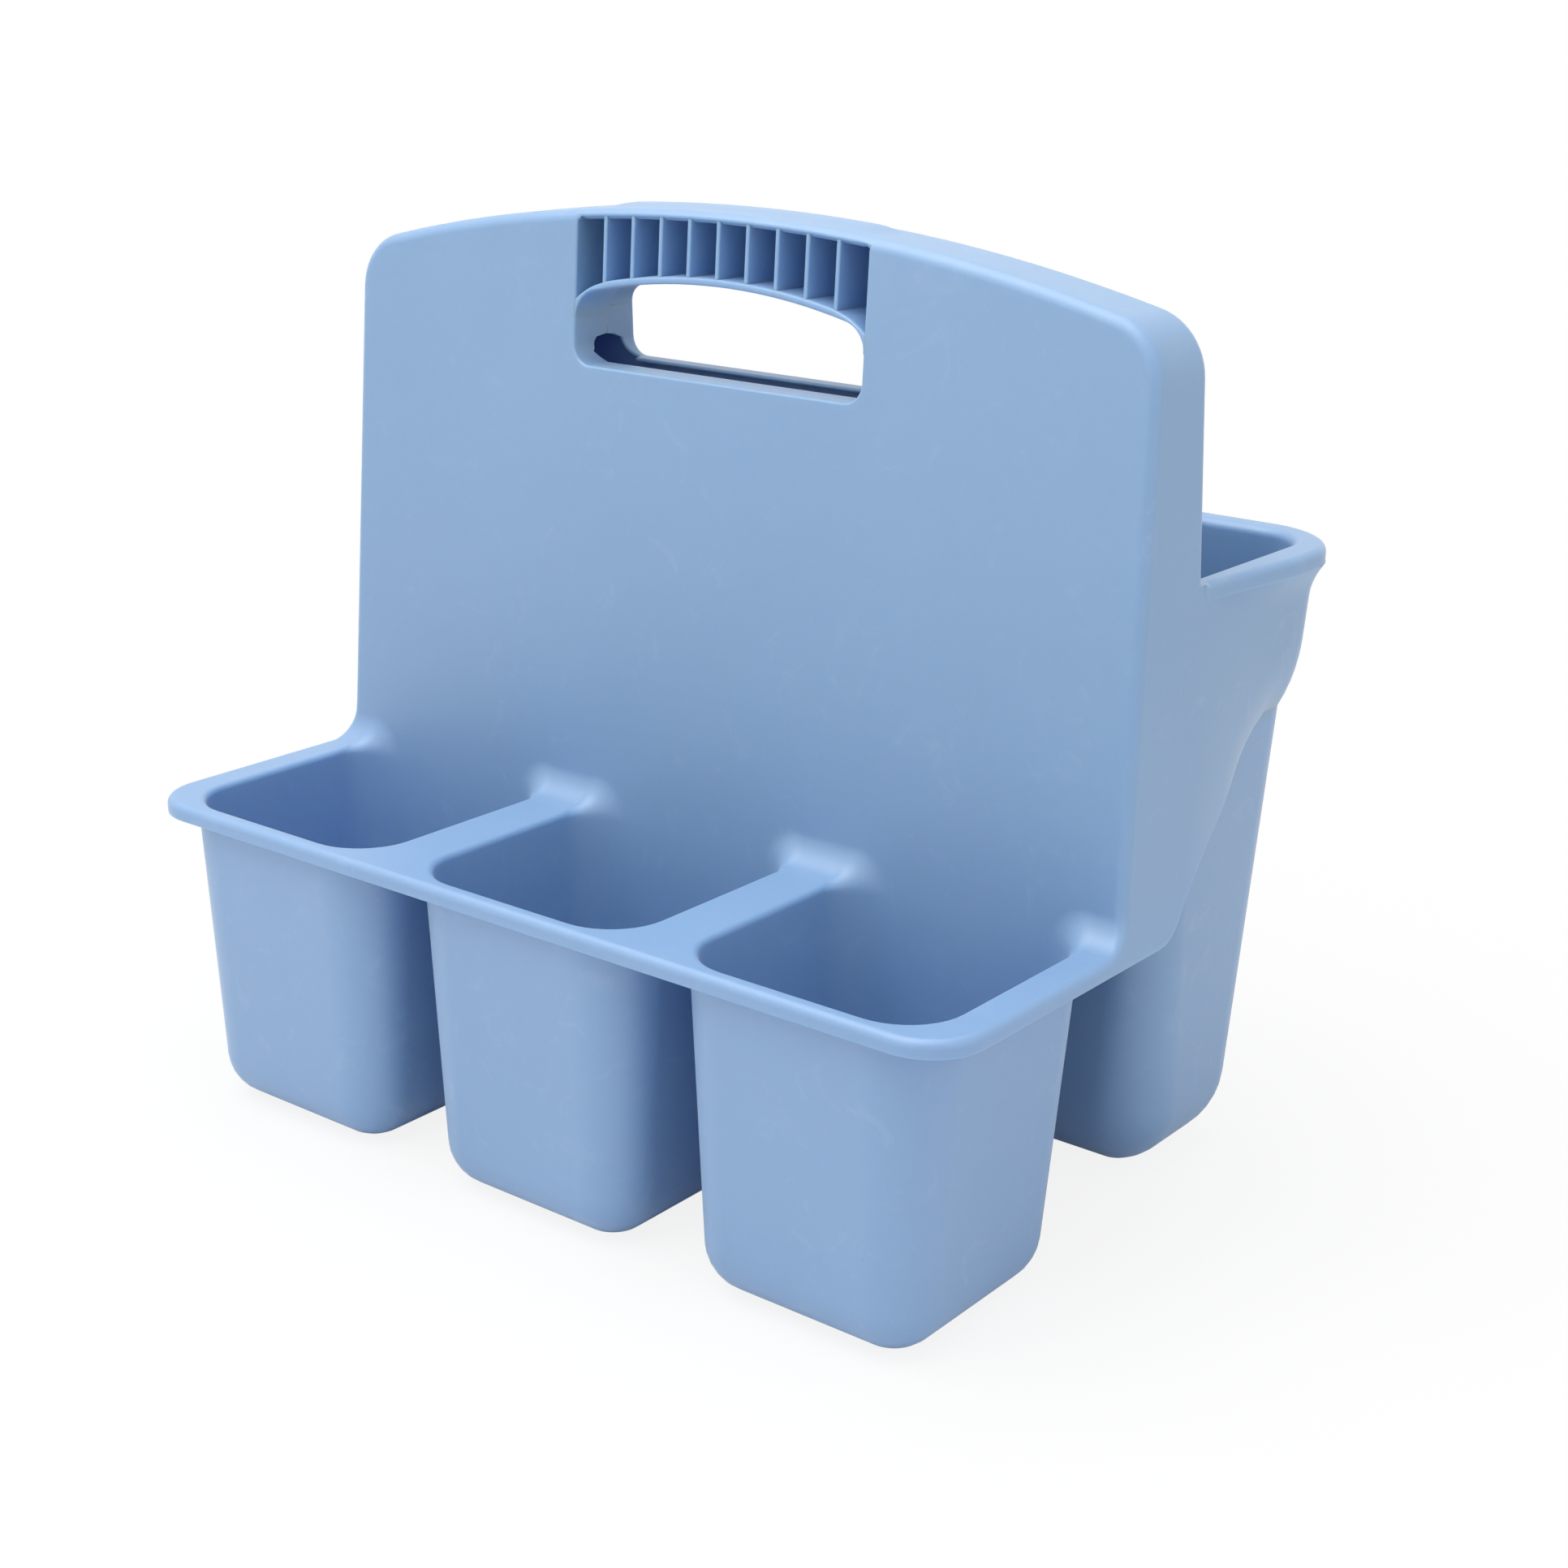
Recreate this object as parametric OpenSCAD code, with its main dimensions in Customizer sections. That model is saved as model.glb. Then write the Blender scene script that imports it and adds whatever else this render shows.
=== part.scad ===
// Cleaning caddy: one hollow upright panel with a hand hole, three cups hung
// from a rimmed deck in front of it and one wide bin behind it.
// X runs across the caddy, Y from the cups to the bin, Z up from the floor.
// The origin is the middle of the box that the caddy fills, at floor level.

/* [Overall] */
// Width across the deck and the rear rim
caddy_w = 314; // [290:1:360]
// Depth from the front lip to the rear lip
caddy_d = 215; // [208:1:260]
// Height to the top of the grip
caddy_h = 293.5; // [285:0.5:330]
// Thickness of the moulded walls
wall = 2.5; // [2:0.1:3]

/* [Front cups] */
// Height of the top of the deck
deck_h = 104; // [80:1:120]
// Front lip to the face of the panel
deck_depth = 88.5; // [75:0.5:95]
// Width of the deck outside the outer cups
deck_side_w = 12; // [9:0.5:16]
// Width of the deck in front of the cups
deck_front_w = 6; // [5:0.5:10]
// Width of the bar between two cups
divider_w = 19.75; // [14:0.25:26]
// Outer corner radius of the deck
deck_corner_r = 18; // [10:0.5:24]
// Height of the turned-down lip
lip_h = 5.3; // [4:0.1:9]
// Rounding of the top edges of both rims
rim_round = 2.5; // [1.5:0.1:3]
// Rounding of the edge that leads into a cup
mouth_round = 2; // [1:0.1:2.2]
// Front corner radius inside a cup, at the top
cup_corner_r = 18; // [10:0.5:22]
// Rear corner radius inside a cup
cup_back_r = 14.5; // [5:0.5:18]
// Radius between the walls and the floor inside a cup
cup_floor_r = 12.5; // [8:0.5:16]
// Draft of the cup walls in degrees
cup_draft = 3.15; // [1:0.05:4.5]
// Radius of the hollow where the deck turns up into the panel
deck_fillet_r = 9; // [5:0.5:12]

/* [Panel] */
// Lean of the front and the rear face in degrees
panel_lean = 2.9; // [1:0.1:4]
// Thickness of the panel at the height of the rear rim
panel_t = 33.5; // [28:0.5:36]
// Draft of the two sides in degrees
side_draft = 1.5; // [0.5:0.1:2.5]
// How far the lip stands out from the side of the panel
lip_out = 1.9; // [1:0.1:4]
// Height over which the side spreads out to the lip
flare_h = 17; // [10:1:26]
// Radius of the crown
crown_r = 580; // [450:10:900]
// Radius of the two top corners
corner_r = 21; // [15:1:35]
// Rounding of the panel's outer edges
edge_round = 3.5; // [3.2:0.1:5]

/* [Grip] */
// Width of the window and the hand hole
grip_w = 110.4; // [90:0.2:130]
// Bottom edge of the hand hole below the top of the grip
hole_drop = 50.3; // [44:0.1:60]
// Top of the arch below the top of the grip
arch_drop = 19.9; // [14:0.1:24]
// Thickness of the arch and of the sleeve walls
arch_t = 1.8; // [1.6:0.1:3]
// Radius of the middle of the arch
arch_r = 220; // [180:5:300]
// Radius of the two ends of the arch
arch_end_r = 25; // [20:1:30]
// Half width of the flatter middle of the arch
arch_mid_x = 42; // [36:1:42]
// Radius of the lower corners of the hand hole
hole_corner_r = 6; // [3:0.5:10]
// Depth of the shelf behind the front sill of the hand hole
sill_front = 10.5; // [4:0.5:12]
// Depth of the shelf before the rear sill of the hand hole
sill_rear = 8; // [4:0.5:12]
// Height to which the slot between the shelves rises in the side walls
slot_rise = 7.5; // [3:0.5:10]
// Number of ribs above the arch
rib_count = 9; // [5:1:12]
// Thickness of a rib
rib_t = 1.4; // [1:0.1:2]
// Width of the raised pad along the top of the grip
pad_w = 110; // [80:1:140]
// Height of the raised pad in the middle
pad_h = 0.9; // [0.5:0.1:2]
// Radius of the top of the pad
pad_r = 625; // [600:5:1000]

/* [Rear bin] */
// Height of the top of the rear rim
bin_h = 201; // [180:1:215]
// Height of the rear rim
rim_h = 5.3; // [4:0.1:8]
// Outer corner radius of the rear rim
rim_corner_r = 29; // [20:1:34]
// How far the rim stands out from the side walls of the bin
rim_side_out = 8.5; // [7:0.1:11]
// How far the rim stands out from the back wall of the bin
rim_back_out = 7; // [6:0.1:11]
// Rounding of the edge that leads into the bin
bin_mouth_round = 3; // [1.5:0.1:4]
// Draft of the side walls in degrees
bin_side_draft = 3.6; // [1:0.1:4.2]
// Draft of the back wall in degrees
bin_back_draft = 1.7; // [0.5:0.1:3]
// Draft of the front wall in degrees
bin_front_draft = 4.8; // [4:0.1:6]
// Vertical corner radius at the back of the bin
bin_corner_r = 18.5; // [16:0.5:26]
// Vertical corner radius at the front of the bin
bin_front_r = 8; // [5:0.5:14]
// Outer radius between the walls and the floor
bin_floor_r = 26; // [18:1:28]
// Height of the collar round the back of the bin
collar_h = 48; // [38:0.5:56]
// How far the collar stands out from the back of the bin
collar_out = 4.2; // [3:0.1:5.5]
// Height of the rounding at the foot of the collar
collar_round = 14.5; // [8:0.5:18]
// Height of the hollow between the rim and the collar
collar_hollow = 8; // [5:0.5:10]

/* [Hidden] */

// Steps of a quarter turn in plan, of a rounded edge and of a floor's edge
turn_steps = 8;
edge_steps = 4;
floor_steps = 6;
// Steps of the crown, of the arch's half, of the skirt's curve and of its flare
crown_steps = 8;
arch_steps = 16;
skirt_steps = 8;
flare_steps = 6;
// Steps down the deck's lip, down the hollow under the rear rim, down the
// collar's foot, and of the circles
lip_steps = 3;
hollow_steps = 3;
foot_steps = 6;
circle_fn = 48;
// Overshoot of cutting tools
over = 1;
// Thinnest edge that a wall may run out to
feather = 0.4;
// Length of the ramps at the ends of the raised pad
pad_ramp = 3;
// The skirt starts to rise this far behind the face and ends this far before
// the round corner of the bin
skirt_from = 19;
skirt_end = 5;
// Handles of the skirt's curve: level at its start, and steeper up to the collar
skirt_level = 14;
skirt_rise = [16, 22];
// Part of the way round to the corner where the collar starts to curl in
curl_from = 0.4;
body_blue = [0.60, 0.71, 0.85];

// Deck and cups in plan
front_y0 = -caddy_d / 2;
face_y = front_y0 + deck_depth;
cup_w = (caddy_w - 2 * deck_side_w - 2 * divider_w) / 3;
cup_pitch = cup_w + divider_w;
cup_front_y = front_y0 + deck_front_w;
// The rim reaches in to the outside of the cups' front walls
rim_land = deck_front_w - wall;
lip_z = deck_h - lip_h;

// Faces of the panel
lean = tan(panel_lean);
spread = tan(side_draft);
side_at_deck = caddy_w / 2 - lip_out;
function face(z) = face_y + lean * (z - deck_h);
rear_at_rim = face(bin_h) + panel_t;
function rear(z) = rear_at_rim - lean * (z - bin_h);
function half_w(z) = side_at_deck - spread * (z - deck_h);
// The side spreads out to the lip over the lowest stretch
flare_z0 = deck_h - rim_round;
flare_z1 = flare_z0 + flare_h;
function side_x(z) = z <= flare_z0 ? caddy_w / 2
    : half_w(z) + (caddy_w / 2 - half_w(flare_z0)) * pow(max(flare_z1 - z, 0) / flare_h, 2);

// Outline of the panel: two drafted sides, two corner arcs and the crown
crown_z = caddy_h - pad_h;
crown_mid = [0, crown_z - crown_r];
side_n = [cos(side_draft), sin(side_draft)];
side_d = [-sin(side_draft), cos(side_draft)];
side_c = side_n * [half_w(bin_h), bin_h];
corner_base = (side_c - corner_r) * side_n;
corner_rel = corner_base - crown_mid;
corner_b = corner_rel * side_d;
corner_t = -corner_b + sqrt(corner_b * corner_b - corner_rel * corner_rel + pow(crown_r - corner_r, 2));
corner_mid = corner_base + corner_t * side_d;
corner_end = atan2(corner_mid.y - crown_mid.y, corner_mid.x - crown_mid.x);
crown_x0 = crown_mid.x + crown_r * cos(corner_end);
crown_xs = concat(
    [for (i = [1 : crown_steps]) crown_x0 + (pad_w / 2 + pad_ramp - crown_x0) * i / crown_steps],
    [for (i = [1 : edge_steps]) pad_w / 2 + pad_ramp - pad_ramp * i / edge_steps],
    [for (i = [1 : crown_steps]) pad_w / 2 * (1 - i / crown_steps)]);
function crown_normal(x) = [x / crown_r, sqrt(1 - pow(x / crown_r, 2))];
// Each station is a point of the outline and its outward normal
right_stations = concat(
    [[[half_w(bin_h), bin_h], side_n]],
    [for (i = [0 : turn_steps])
        let (a = side_draft + (corner_end - side_draft) * i / turn_steps)
        [corner_mid + corner_r * [cos(a), sin(a)], [cos(a), sin(a)]]],
    [for (x = crown_xs) [crown_mid + crown_r * crown_normal(x), crown_normal(x)]]);
function mirrored(stations) = [for (i = [len(stations) - 2 : -1 : 0])
    [[-stations[i][0].x, stations[i][0].y], [-stations[i][1].x, stations[i][1].y]]];
stations = concat(right_stations, mirrored(right_stations));
function outline(inset) = [for (s = stations) s[0] - inset * s[1]];

// The pad has a flatter arc than the crown and ramps down to it at its ends
function ease(t) = let (u = min(max(t, 0), 1)) u * u * (3 - 2 * u);
function arc_z(x, top, r) = top - r + sqrt(r * r - x * x);
function pad_lift(x) = (arc_z(x, caddy_h, pad_r) - arc_z(x, crown_z, crown_r))
    * ease((pad_w / 2 + pad_ramp - abs(x)) / pad_ramp);

// Hand hole and arch
hole_z = caddy_h - hole_drop;
arch_z = caddy_h - arch_drop;
grip_x = grip_w / 2;
mid_a = asin(arch_mid_x / arch_r);
arch_end_mid = [arch_mid_x, arch_z - arch_r + arch_r * cos(mid_a)] - arch_end_r * [sin(mid_a), cos(mid_a)];
// Point of the arch at x, on a curve that lies drop below its upper face
function arch_top(x, drop) = abs(x) <= (arch_r - drop) * sin(mid_a)
    ? arc_z(x, arch_z - drop, arch_r - drop)
    : arch_end_mid.y + sqrt(max(0, pow(arch_end_r - drop, 2) - pow(abs(x) - arch_end_mid.x, 2)));
arch_xs = [for (i = [-arch_steps : arch_steps]) grip_x * sin(90 * i / arch_steps)];

// Rear bin in plan, at height z
bin_top = bin_h - rim_h;
rim_x = caddy_w / 2;
rim_y = caddy_d / 2;
function bin_x(z) = rim_x - rim_side_out - tan(bin_side_draft) * (bin_h - z);
function bin_y(z) = rim_y - rim_back_out - tan(bin_back_draft) * (bin_h - z);
function bin_front(z) = rear(bin_top) - wall + tan(bin_front_draft) * (bin_top - z);

// Lower edge of the skirt: level under the lip, then a curve up to the collar
collar_z = bin_h - collar_h;
skirt_y0 = face_y + skirt_from;
skirt_y1 = bin_y(collar_z) - bin_corner_r - skirt_end;
skirt_ctrl = [[skirt_y0, lip_z], [skirt_y0 + skirt_level, lip_z],
    [skirt_y0, lip_z] + skirt_rise, [skirt_y1, collar_z]];
function bezier(p, t) = p[0] * pow(1 - t, 3) + 3 * p[1] * t * pow(1 - t, 2)
    + 3 * p[2] * t * t * (1 - t) + p[3] * pow(t, 3);
// Parameter at which the curve reaches y, found by halving
function curve_at(y, a = 0, b = 1, n = 24) = n == 0 ? a
    : let (m = (a + b) / 2)
    bezier(skirt_ctrl, m).x < y ? curve_at(y, m, b, n - 1) : curve_at(y, a, m, n - 1);

// Rounded rectangle with its own radii at the front and at the back
function corner(cx, cy, r, a0) = [for (i = [0 : turn_steps])
    let (a = a0 + 90 * i / turn_steps) [cx + r * cos(a), cy + r * sin(a)]];
function tray(x0, x1, y0, y1, rf, rb) = concat(
    corner(x1 - rb, y1 - rb, rb, 0), corner(x0 + rb, y1 - rb, rb, 90),
    corner(x0 + rf, y0 + rf, rf, 180), corner(x1 - rf, y0 + rf, rf, 270));
function lifted(points, z) = [for (p = points) [p.x, p.y, z]];

// Solid between the rings of a loft. Each end is one flat face or, where the
// ring is a wall's section, a strip between its outer and its inner half.
module skin(rings, strip = false) {
    n = len(rings[0]);
    end = (len(rings) - 1) * n;
    sides = [for (i = [0 : len(rings) - 2]) for (j = [0 : n - 1])
        let (a = i * n, b = a + n, k = (j + 1) % n)
        each [[a + j, b + j, b + k], [a + j, b + k, a + k]]];
    first = strip ? [for (j = [0 : n / 2 - 2]) each [[j, j + 1, n - 2 - j], [j, n - 2 - j, n - 1 - j]]]
        : [[for (j = [0 : n - 1]) j]];
    last = [for (f = first) [for (i = [len(f) - 1 : -1 : 0]) end + f[i]]];
    polyhedron(points = [for (r = rings) each r], faces = concat(sides, first, last));
}

// Plan of a cup at height z: off is the distance outside its inner wall. At
// the mouth the back stays in the face of the panel, which goes straight on.
function cup_plan(mid, z, off, inset = 0, mouth = false) =
    let (slope = tan(cup_draft) * (deck_h - z), g = off - inset - slope)
    tray(mid - cup_w / 2 - g, mid + cup_w / 2 + g, cup_front_y - g,
        face(z) + (mouth ? 0 : off - inset),
        max(cup_corner_r + g, over), max(cup_back_r + off - inset, over));

module cup(mid) {
    outer_floor_r = cup_floor_r + wall;
    outside = [for (i = [0 : floor_steps])
        let (a = 90 * i / floor_steps, z = outer_floor_r * (1 - cos(a)))
        lifted(cup_plan(mid, z, wall, outer_floor_r * (1 - sin(a))), z)];
    mouth = [for (i = [0 : edge_steps])
        let (a = 90 * i / edge_steps, z = deck_h - mouth_round * (1 - cos(a)))
        lifted(cup_plan(mid, deck_h, mouth_round * (1 - sin(a)), 0, true), z)];
    inside = [for (i = [floor_steps : -1 : 0])
        let (a = 90 * i / floor_steps, z = wall + cup_floor_r * (1 - cos(a)))
        lifted(cup_plan(mid, z, 0, cup_floor_r * (1 - sin(a))), z)];
    color(body_blue)
        skin(concat(outside, [lifted(cup_plan(mid, deck_h, wall), deck_h)], mouth, inside));
}

module front_cup_left() {
    cup(-cup_pitch);
}

module front_cup_middle() {
    cup(0);
}

module front_cup_right() {
    cup(cup_pitch);
}

// Right half of the deck's outer edge in plan, from the panel to the middle
function deck_half(inset) = concat(
    [[rim_x - inset, face_y]],
    [for (i = [0 : turn_steps]) let (a = -90 * i / turn_steps)
        [rim_x - deck_corner_r, front_y0 + deck_corner_r] + (deck_corner_r - inset) * [cos(a), sin(a)]]);
function deck_edge(inset) = let (h = deck_half(inset))
    concat(h, [for (i = [len(h) - 1 : -1 : 0]) [-h[i].x, h[i].y]]);

// Rounded outer edge of the deck with the lip that hangs from it
module deck_rim() {
    rounding = [for (i = [0 : edge_steps]) let (a = 90 * i / edge_steps)
        [rim_round * (1 - sin(a)), deck_h - rim_round * (1 - cos(a))]];
    outer = concat([[rim_land, deck_h]], rounding, [[0, lip_z]]);
    // The inner half has as many points as the outer one
    land_steps = edge_steps + 2 - lip_steps;
    inner = concat([for (i = [0 : lip_steps]) [wall, lip_z + (lip_h - wall) * i / lip_steps]],
        [for (i = [1 : land_steps]) [wall + (rim_land - wall) * i / land_steps, deck_h - wall]]);
    edges = [for (s = concat(outer, inner)) lifted(deck_edge(s.x), s.y)];
    color(body_blue)
        skin([for (i = [0 : len(edges[0]) - 1]) [for (e = edges) e[i]]], strip = true);
}

// Flat bars of the deck, with a hollow fillet where they meet the panel
module deck_plate() {
    post_x = half_w(deck_h) - edge_round;
    module bars() {
        difference() {
            union() {
                polygon(deck_edge(rim_land));
                translate([-post_x, face_y - over])
                    square([2 * post_x, wall + over]);
            }
            for (i = [-1 : 1])
                polygon(cup_plan(i * cup_pitch, deck_h, wall));
            for (i = [-1 : 1])
                translate([i * cup_pitch, 0]) {
                    translate([-cup_w / 2 + cup_back_r, face_y])
                        square([cup_w - 2 * cup_back_r, wall + over]);
                    translate([-cup_w / 2 + cup_corner_r, front_y0])
                        square([cup_w - 2 * cup_corner_r, deck_front_w + over]);
                }
        }
    }
    color(body_blue)
        union() {
            translate([0, 0, deck_h - wall])
                linear_extrude(wall)
                    bars();
            difference() {
                intersection() {
                    translate([0, 0, deck_h - wall])
                        linear_extrude(wall + deck_fillet_r)
                            bars();
                    rotate([90, 0, 90])
                        translate([0, 0, -post_x])
                            linear_extrude(2 * post_x)
                                polygon([[face_y - deck_fillet_r, deck_h - wall / 2],
                                    [face(deck_h - wall / 2), deck_h - wall / 2],
                                    [face(deck_h), deck_h],
                                    [face(deck_h + deck_fillet_r), deck_h + deck_fillet_r],
                                    [face_y - deck_fillet_r, deck_h + deck_fillet_r]]);
                }
                translate([-caddy_w / 2, face_y - deck_fillet_r, deck_h + deck_fillet_r])
                    rotate([0, 90, 0])
                        cylinder(r = deck_fillet_r, h = caddy_w, $fn = circle_fn);
            }
        }
}

// Slab between two leaning faces, from z0 to z1, as wide as the caddy
module between(y_low, y_high, z0, z1) {
    rotate([90, 0, 90])
        translate([0, 0, -caddy_w / 2])
            linear_extrude(caddy_w)
                polygon([[y_low[0], z0], [y_high[0], z0], [y_high[1], z1], [y_low[1], z1]]);
}

// A flat outline in X and Z, drawn out through the whole depth
module through(points) {
    translate([0, caddy_d / 2, 0])
        rotate([90, 0, 0])
            linear_extrude(caddy_d)
                polygon(points);
}

// Window in the front face: open at the top up to the crown, round at the bottom
module window(half, z0, z1, r) {
    translate([0, caddy_d / 2, 0])
        rotate([90, 0, 0])
            linear_extrude(caddy_d)
                union() {
                    translate([-half + r, z0])
                        square([2 * half - 2 * r, z1 - z0]);
                    translate([-half, z0 + r])
                        square([2 * half, z1 - z0 - r]);
                    for (s = [-1, 1])
                        translate([s * (half - r), z0 + r])
                            circle(r = r, $fn = circle_fn);
                }
}

// Part of the front wall between the heights z0 and z1
module front_sheet(z0, z1) {
    foot = half_w(deck_h) - edge_round / cos(side_draft);
    intersection() {
        through(concat([[foot, deck_h]], outline(edge_round), [[-foot, deck_h]]));
        between([face(z0), face(z1)], [face(z0) + wall, face(z1) + wall], z0, z1);
    }
}

// Front wall from the deck up to the sill of the hand hole
module panel_front_wall() {
    color(body_blue)
        front_sheet(deck_h, hole_z);
}

// Front wall beside the hand hole and the window above it
module panel_shoulder() {
    color(body_blue)
        difference() {
            front_sheet(hole_z, caddy_h);
            window(grip_x, hole_z, caddy_h, hole_corner_r);
            translate([-caddy_w, -caddy_d / 2, hole_z - over])
                cube([caddy_w, caddy_d, caddy_h]);
        }
}

module panel_shoulder_right() {
    panel_shoulder();
}

module panel_shoulder_left() {
    mirror([1, 0, 0])
        panel_shoulder();
}

module panel_rear_wall() {
    foot = half_w(bin_top) - wall;
    step = half_w(bin_h) - wall;
    color(body_blue)
        difference() {
            intersection() {
                through(concat([[foot, bin_top], [step, bin_h]], outline(edge_round),
                    [[-step, bin_h], [-foot, bin_top]]));
                between([rear(bin_top) - wall, rear(caddy_h) - wall], [rear(bin_top), rear(caddy_h)],
                    bin_top, caddy_h);
            }
            intersection() {
                window(grip_x, hole_z, caddy_h, hole_corner_r);
                through(concat([[grip_x + over, hole_z - over]],
                    [for (i = [len(arch_xs) - 1 : -1 : 0]) [arch_xs[i], arch_top(arch_xs[i], arch_t)]],
                    [[-grip_x - over, hole_z - over]]));
            }
        }
}

// Channel round the two sides and the crown, with the raised pad on its top
module panel_edge_band() {
    function at(s, inset, dy, front) = let (p = s[0] - inset * s[1])
        [p.x, front ? face(p.y) + dy : rear(p.y) - dy, p.y];
    function outer_side(s, front) = let (h = pad_lift(s[0].x), r = edge_round)
        [for (i = [0 : edge_steps]) let (a = 90 * i / edge_steps)
            at(s, r - (r + h) * sin(a), r * (1 - cos(a)), front)];
    function inner_side(s, front) = let (r = edge_round - wall)
        [for (i = [0 : edge_steps]) let (a = 90 * i / edge_steps)
            at(s, edge_round - r * sin(a), wall + r * (1 - cos(a)), front)];
    function turned(list) = [for (i = [len(list) - 1 : -1 : 0]) list[i]];
    color(body_blue)
        skin([for (s = stations) concat(outer_side(s, true), turned(outer_side(s, false)),
            inner_side(s, false), turned(inner_side(s, true)))], strip = true);
}

// Side of the panel from the lip up to the rear rim, with its rounded front edge
module side_skirt() {
    levels = concat([lip_z], [for (i = [0 : flare_steps]) flare_z0 + flare_h * i / flare_steps], [bin_h]);
    function ring(z) = let (w = half_w(z), f = side_x(z) - w, y = face(max(z, deck_h)), r = edge_round)
        concat([for (i = [0 : edge_steps]) let (a = 90 * i / edge_steps)
                [w - r + (r + f) * sin(a), y + r * (1 - cos(a)), z]],
            [[w + f, rear(z), z], [w + f - wall, rear(z), z]],
            [for (i = [edge_steps : -1 : 0]) let (a = 90 * i / edge_steps)
                [w - r + (r - wall + f) * sin(a), y + wall + (r - wall) * (1 - cos(a)), z]]);
    curve = [for (i = [0 : 2 * skirt_steps]) bezier(skirt_ctrl, i / (2 * skirt_steps))];
    color(body_blue)
        difference() {
            skin([for (z = levels) ring(z)]);
            rotate([90, 0, 90])
                linear_extrude(caddy_w)
                    polygon(concat([[skirt_y0, 0]], curve, [[skirt_y1, 0]]));
        }
}

module side_skirt_right() {
    side_skirt();
}

module side_skirt_left() {
    mirror([1, 0, 0])
        side_skirt();
}

module grip_ribs() {
    pitch = grip_w / (rib_count + 1);
    function crown_at(x) = arc_z(x, crown_z - edge_round, crown_r - edge_round);
    color(body_blue)
        intersection() {
            for (i = [1 : rib_count])
                let (x0 = -grip_x + i * pitch - rib_t / 2, x1 = x0 + rib_t)
                through([[x0, arch_top(x0, 0)], [x1, arch_top(x1, 0)], [x1, crown_at(x1)], [x0, crown_at(x0)]]);
            between([face(hole_z), face(caddy_h)], [rear(hole_z) - wall, rear(caddy_h) - wall],
                hole_z, caddy_h);
        }
}

// Sleeve round the fingers: the arched wall over them, the two side walls and
// the two shelves of the sill, with an open slot between the shelves
module grip_arch() {
    upper = [for (x = arch_xs) [x, arch_top(x, 0)]];
    lower = [for (i = [len(arch_xs) - 1 : -1 : 0]) [arch_xs[i], arch_top(arch_xs[i], arch_t)]];
    side_x1 = grip_x + arch_t;
    side_top = arc_z(side_x1, crown_z - edge_round, crown_r - edge_round);
    slot_y0 = face(hole_z) + sill_front;
    slot_y1 = rear(hole_z) - sill_rear;
    color(body_blue)
        union() {
            intersection() {
                through(concat(upper, lower));
                between([face(hole_z), face(caddy_h)], [rear(hole_z) - wall, rear(caddy_h) - wall],
                    hole_z, caddy_h);
            }
            difference() {
                intersection() {
                    union() {
                        for (s = [-1, 1])
                            through([[s * grip_x, hole_z - arch_t], [s * side_x1, hole_z - arch_t],
                                [s * side_x1, side_top], [s * grip_x, side_top]]);
                        through([[-grip_x, hole_z - arch_t], [grip_x, hole_z - arch_t],
                            [grip_x, hole_z], [-grip_x, hole_z]]);
                    }
                    between([face(hole_z - arch_t) + wall, face(caddy_h) + wall],
                        [rear(hole_z - arch_t) - wall, rear(caddy_h) - wall], hole_z - arch_t, caddy_h);
                }
                translate([-caddy_w / 2, slot_y0, hole_z - arch_t - over])
                    cube([caddy_w, slot_y1 - slot_y0, arch_t + over + slot_rise]);
            }
        }
}

// Plan of the bin at height z: off is the distance outside its outer wall
function front_corner(z) = bin_front_r + (bin_corner_r - bin_front_r) * (1 - z / bin_top);
function bin_plan(z, off, inset = 0) = let (g = off - inset)
    tray(-bin_x(z) - g, bin_x(z) + g, bin_front(z) - g, bin_y(z) + g,
        max(front_corner(z) + g, over), max(bin_corner_r + g, over));

module rear_bin() {
    inner_floor_r = bin_floor_r - wall;
    outside = [for (i = [0 : floor_steps])
        let (a = 90 * i / floor_steps, z = bin_floor_r * (1 - cos(a)))
        lifted(bin_plan(z, 0, bin_floor_r * (1 - sin(a))), z)];
    inside = [for (i = [floor_steps : -1 : 0])
        let (a = 90 * i / floor_steps, z = wall + inner_floor_r * (1 - cos(a)))
        lifted(bin_plan(z, -wall, inner_floor_r * (1 - sin(a))), z)];
    color(body_blue)
        skin(concat(outside, [lifted(bin_plan(bin_top, 0), bin_top), lifted(bin_plan(bin_top, -wall), bin_top)],
            inside));
}

// Stations round the bin from the right side of the panel to the left.
// Each is [kind, value, foot]: a Y on the side, an angle of the corner or an X
// on the back, and the height of the collar's lower edge there.
t_start = curve_at(rear_at_rim);
right_round = concat(
    [for (i = [0 : skirt_steps]) let (t = t_start + (1 - t_start) * i / skirt_steps, p = bezier(skirt_ctrl, t))
        [0, p.x, p.y]],
    [for (i = [0 : turn_steps]) [1, 90 * i / turn_steps, collar_z]],
    [[2, 0, collar_z]]);
round_stations = concat([for (s = right_round) [s, 1]],
    [for (i = [len(right_round) - 2 : -1 : 0]) [right_round[i], -1]]);
// Point at height z, off outside the wall of the bin
function round_at(st, z, off) = let (s = st[0], m = st[1], bx = bin_x(z), by = bin_y(z), r = bin_corner_r)
    s[0] == 0 ? [m * (bx + off), s[1] == right_round[0][1] ? rear(z) : s[1], z]
    : s[0] == 1 ? [m * (bx - r + (r + off) * cos(s[1])), by - r + (r + off) * sin(s[1]), z]
    : [m * s[1], by + off, z];
// How far round the bin a station lies: 0 at the panel, 1 from the corner on
function progress(st) = st[0][0] > 0 ? 1 : (st[0][1] - rear_at_rim) / (skirt_y1 - rear_at_rim);

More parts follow.
